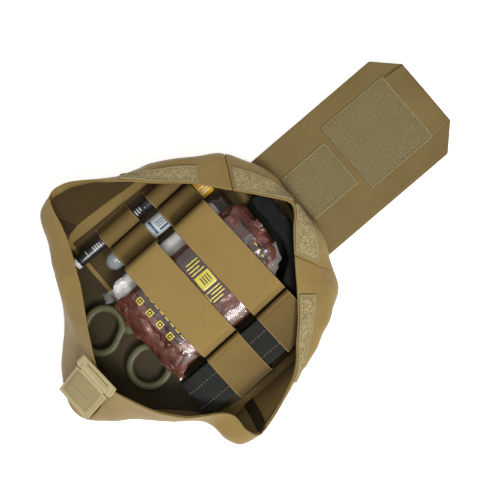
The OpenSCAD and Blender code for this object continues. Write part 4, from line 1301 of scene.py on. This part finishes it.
def strap_piece(name, loop, x0, width, thick, replaces=()):
    """A closed loop of strap, drawn from the side."""
    step = 1.2 * MM
    line = resample(xyz(x0, loop[:, 0], loop[:, 1]) * MM, step)[0][:-1]
    up = np.cross(unit(np.roll(line, -1, 0) - np.roll(line, 1, 0)), (1.0, 0, 0))
    k = np.linspace(-1, 1, 27)
    across = k * width / 2 * MM
    swell = 1 - 0.3 * np.clip((np.abs(k) - 0.9) / 0.1, 0, 1)
    ripple = 0.25 * MM * bumpy(line, 0.02, 2, x0)[:, None, None]
    mid = line[:, None] + np.array([1.0, 0, 0]) * across[None, :, None] + up[:, None] * ripple
    half = up[:, None] * (thick / 2 * MM * swell)[None, :, None]
    uv = np.stack(lattice(np.arange(len(line)) * step, across), -1)
    verts = np.concatenate([mid + half, (mid - half)[:, ::-1]], 1).reshape(-1, 3)
    uvs = np.concatenate([uv, uv[:, ::-1]], 1).reshape(-1, 2)
    outward(piece(name, verts, grid_faces(len(line), 2 * len(k), True, True), M["black_webbing"], "tourniquet",
                  replaces, uvs))


strap_piece("strap_outer", strap_loop(0.8), STRAP_X, STRAP_W, 1.3, ["tourniquet_strap"])
strap_piece("strap_inner", strap_loop(2.3), STRAP_X + 0.4, STRAP_W - 1.2, 1.2)
thread = Parts()
bend, flat_steps = np.linspace(175, 90, 26), 160
low = np.array(arc(0, 0, 1, bend))
up = np.vstack([xyz(0, *low.T), xyz(0, np.zeros(flat_steps), 1)])
for dx in (-7.0, 10.0):
    curve = xyz(STRAP_X + dx, BEND_Y + 17.9 * low[:, 0], STRAP_MID_Z + 18.0 * low[:, 1])
    line = np.vstack([curve, xyz(STRAP_X + dx, np.linspace(BEND_Y, 52, flat_steps), 44.02)]) * MM
    stitch_row(thread, line + up * 0.15 * MM, up, 3.4 * MM, 2.3 * MM, 0.3 * MM)
thread.build("strap_stitches", M["thread_pale"], "tourniquet", "black_webbing")

# ---- Shears: blades and pivot are the CAD's own; the handles are moulded over the tangs ----

HANDLE_Z0, HANDLE_T, RING_W = 6.6, 9, 7.6
PIVOT = np.array([5.0, -10.0])


def shear_handle(key, centre, size, slant, body):
    """A finger ring, `size` across and along and turned by slant, and the arm that joins it to the pivot."""
    side = 1 if centre[0] > 0 else -1
    loop = np.array(arc(0, 0, size[0] / 2 - RING_W / 2, np.linspace(0, 360, 73)[:-1]))
    loop[:, 1] += (size[1] - size[0]) / 2 * np.where(loop[:, 1] >= 0, 1, -1)
    c, s = math.cos(math.radians(slant)), math.sin(math.radians(slant))
    loop = np.array(centre) + loop @ np.array([(c, s), (-s, c)])
    mid_z = HANDLE_Z0 + HANDLE_T / 2
    t = circle_angles(24)
    section = list(zip(signed_power(np.cos(t), 0.75) * RING_W / 2 * 1.02,
                       signed_power(np.sin(t), 0.6) * HANDLE_T / 2))
    out = unit(loop - np.array(centre))
    verts = [(p[0] + o[0] * w, p[1] + o[1] * w, mid_z + h) for p, o in zip(loop, out) for w, h in section]
    parts = Parts()
    parts.add(np.array(verts) * MM, grid_faces(len(loop), len(section), closed_u=True, closed_v=True))
    start = np.array([centre[0] - side * size[0] * 0.36, centre[1] + size[1] * 0.36])
    end = PIVOT + [side * 6.6, -28]
    steps = np.linspace(0, 1, 14)
    arm = []
    d = unit(end - start)
    start, end = start - d * 3.5, end + d * 3.5
    cross = np.array([-d[1], d[0]])
    for s in steps:
        cap = math.sqrt(max(0.0, 1 - (abs(2 * s - 1)) ** 6))
        radius = (5.6 + 0.6 * s) * max(cap, 0.25)
        at = start + (end - start) * s
        arm += [(at[0] + cross[0] * w * radius / 3.8, at[1] + cross[1] * w * radius / 3.8,
                 mid_z + h * (0.6 + 0.38 * cap)) for w, h in section]
    parts.add(np.array(arm) * MM, tube_faces(len(steps), len(section)))
    obj = parts.build("handle_" + key, M["olive"], None, "olive_plastic", ["shear_handle_" + key])
    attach(melt(obj, 0.55 * MM, 8), body)


def melt(obj, voxel, passes):
    """Joins a piece's overlapping solids into one skin and softens its edges."""
    remesh = obj.modifiers.new("join", "REMESH")
    remesh.mode, remesh.voxel_size = "VOXEL", voxel
    soften = obj.modifiers.new("soften", "SMOOTH")
    soften.iterations, soften.factor = passes, 0.5
    bpy.context.view_layer.update()
    done = bpy.data.meshes.new_from_object(obj.evaluated_get(bpy.context.evaluated_depsgraph_get()))
    mats = list(obj.data.materials)
    obj.modifiers.clear()
    obj.data = done
    if not obj.data.materials:
        for m in mats:
            obj.data.materials.append(m)
    obj.data.shade_smooth()
    return obj


shear_handle("left", (-26, -77.5), (41, 51), 24, "shears")
shear_handle("right", (28.5, -65), (44, 46), 10, "shear_right")

# ---- Black wrap: a soft knitted bundle ----

WRAP = np.array([(-32, 105.5), (18, 105.5), (27, 102.5), (35, 97), (41, 89), (47, 81.8), (57, 81.5), (72, 82),
                 (76, 98), (62, 113), (50, 119), (38, 125), (-24, 126), (-32, 117)]) * MM
wrap = plate("wrap_knit", inset(WRAP, 1.2 * MM), 7.6 * MM, 35.2 * MM, M["black_knit"], None,
             ["elastic_wrap"], 3.5 * MM)
melt(wrap, 1.4 * MM, 10)
co = np.array([v.co for v in wrap.data.vertices])
normals = np.array([v.normal for v in wrap.data.vertices])
folds = 1.5 * bumpy(co * np.array([1, 1, 0.35]), 0.016, 3, 5.0) - 0.8 * creases(co, 0.02, 1.0)
wrap.data.vertices.foreach_set("co", (co + normals * folds[:, None] * MM).astype(np.float32).ravel())
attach(wrap, "root")

skirt = np.array([(-28, 82), (52, 82), (52, 80), (59, 80), (59, 73), (97, 73), (91, 87), (74, 97), (60, 108),
                  (-28, 108)]) * MM
plate("wrap_skirt", skirt, 6.6 * MM, 10.6 * MM, M["black_knit"], "root", bevel=1.2 * MM)

# ---- Materials of the CAD nodes that stay in sight ----

CAD_LOOKS = {
    "strap_snaps": "snap", "marker_nib": "felt", "marker_reservoir": "felt", "needle_hub": "hub",
    "needle_cannula": "steel", "tourniquet_plate": "black_plastic", "tourniquet_windlass": "black_plastic",
    "tourniquet_clip": "black_plastic", "tourniquet_buckle": "black_plastic", "tourniquet_keeper": "keeper",
    "shear_blade_left": "steel", "shear_blade_right": "steel", "shear_pivot": "steel",
}
for node, look in CAD_LOOKS.items():
    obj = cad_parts[node]
    obj.data.materials.clear()
    obj.data.materials.append(M[look])

# ---- Floor, light and camera ----

floor_mat = Shade("floor", rough=0.9)
floor_mat.shader.inputs["Emission Color"].default_value = (1, 1, 1, 1)
floor_mat.shader.inputs["Emission Strength"].default_value = 0.6
floor_mat.colour(floor_mat.ramp(floor_mat.noise(3, 2), [(0.3, (0.93, 0.93, 0.93)), (0.7, (0.95, 0.95, 0.95))]))
mesh = bpy.data.meshes.new("floor")
corners = box_outline(-3.0, 3.0, -3.0, 3.0)
mesh.from_pydata([(*corner, -0.4 * MM) for corner in corners], [], [(0, 1, 2, 3)])
mesh.materials.append(floor_mat.mat)
floor = bpy.data.objects.new("floor", mesh)
scene.collection.objects.link(floor)


def area_light(name, place, target, size, power, colour=(1, 1, 1)):
    data = bpy.data.lights.new(name, "AREA")
    data.size, data.energy, data.color = size, power, colour
    obj = bpy.data.objects.new(name, data)
    obj.location = place
    obj.rotation_euler = (Vector(target) - Vector(place)).to_track_quat("-Z", "Y").to_euler()
    scene.collection.objects.link(obj)


TARGET = (0, 0.08, 0.02)
area_light("key", (0.85, -0.1, 1.35), TARGET, 0.45, 20)
area_light("fill", (-0.8, 0.0, 1.3), TARGET, 1.0, 3)
area_light("top", (0.1, 0.1, 1.7), TARGET, 1.2, 5)
world = bpy.data.worlds.new("studio")
world.use_nodes = True
world.node_tree.nodes["Background"].inputs[0].default_value = (1, 1, 1, 1)
world.node_tree.nodes["Background"].inputs[1].default_value = 0.22
scene.world = world
scene.view_settings.view_transform = "Standard"

SHOT_AT, SHOT_HEIGHT, SHOT_TURN = (6.6 * MM, 78.1 * MM), 0.95, math.radians(40.5)
camera_data = bpy.data.cameras.new("camera")
camera_data.sensor_width, camera_data.lens = 36, 71.5
camera = bpy.data.objects.new("camera", camera_data)
right = Vector((math.sin(SHOT_TURN), math.cos(SHOT_TURN), 0))
up = Vector((-math.cos(SHOT_TURN), math.sin(SHOT_TURN), 0))
camera.matrix_world = Matrix.Translation((*SHOT_AT, SHOT_HEIGHT)) @ Matrix((
    (right.x, up.x, 0, 0), (right.y, up.y, 0, 0), (0, 0, 1, 0), (0, 0, 0, 1)))
scene.collection.objects.link(camera)
scene.camera = camera
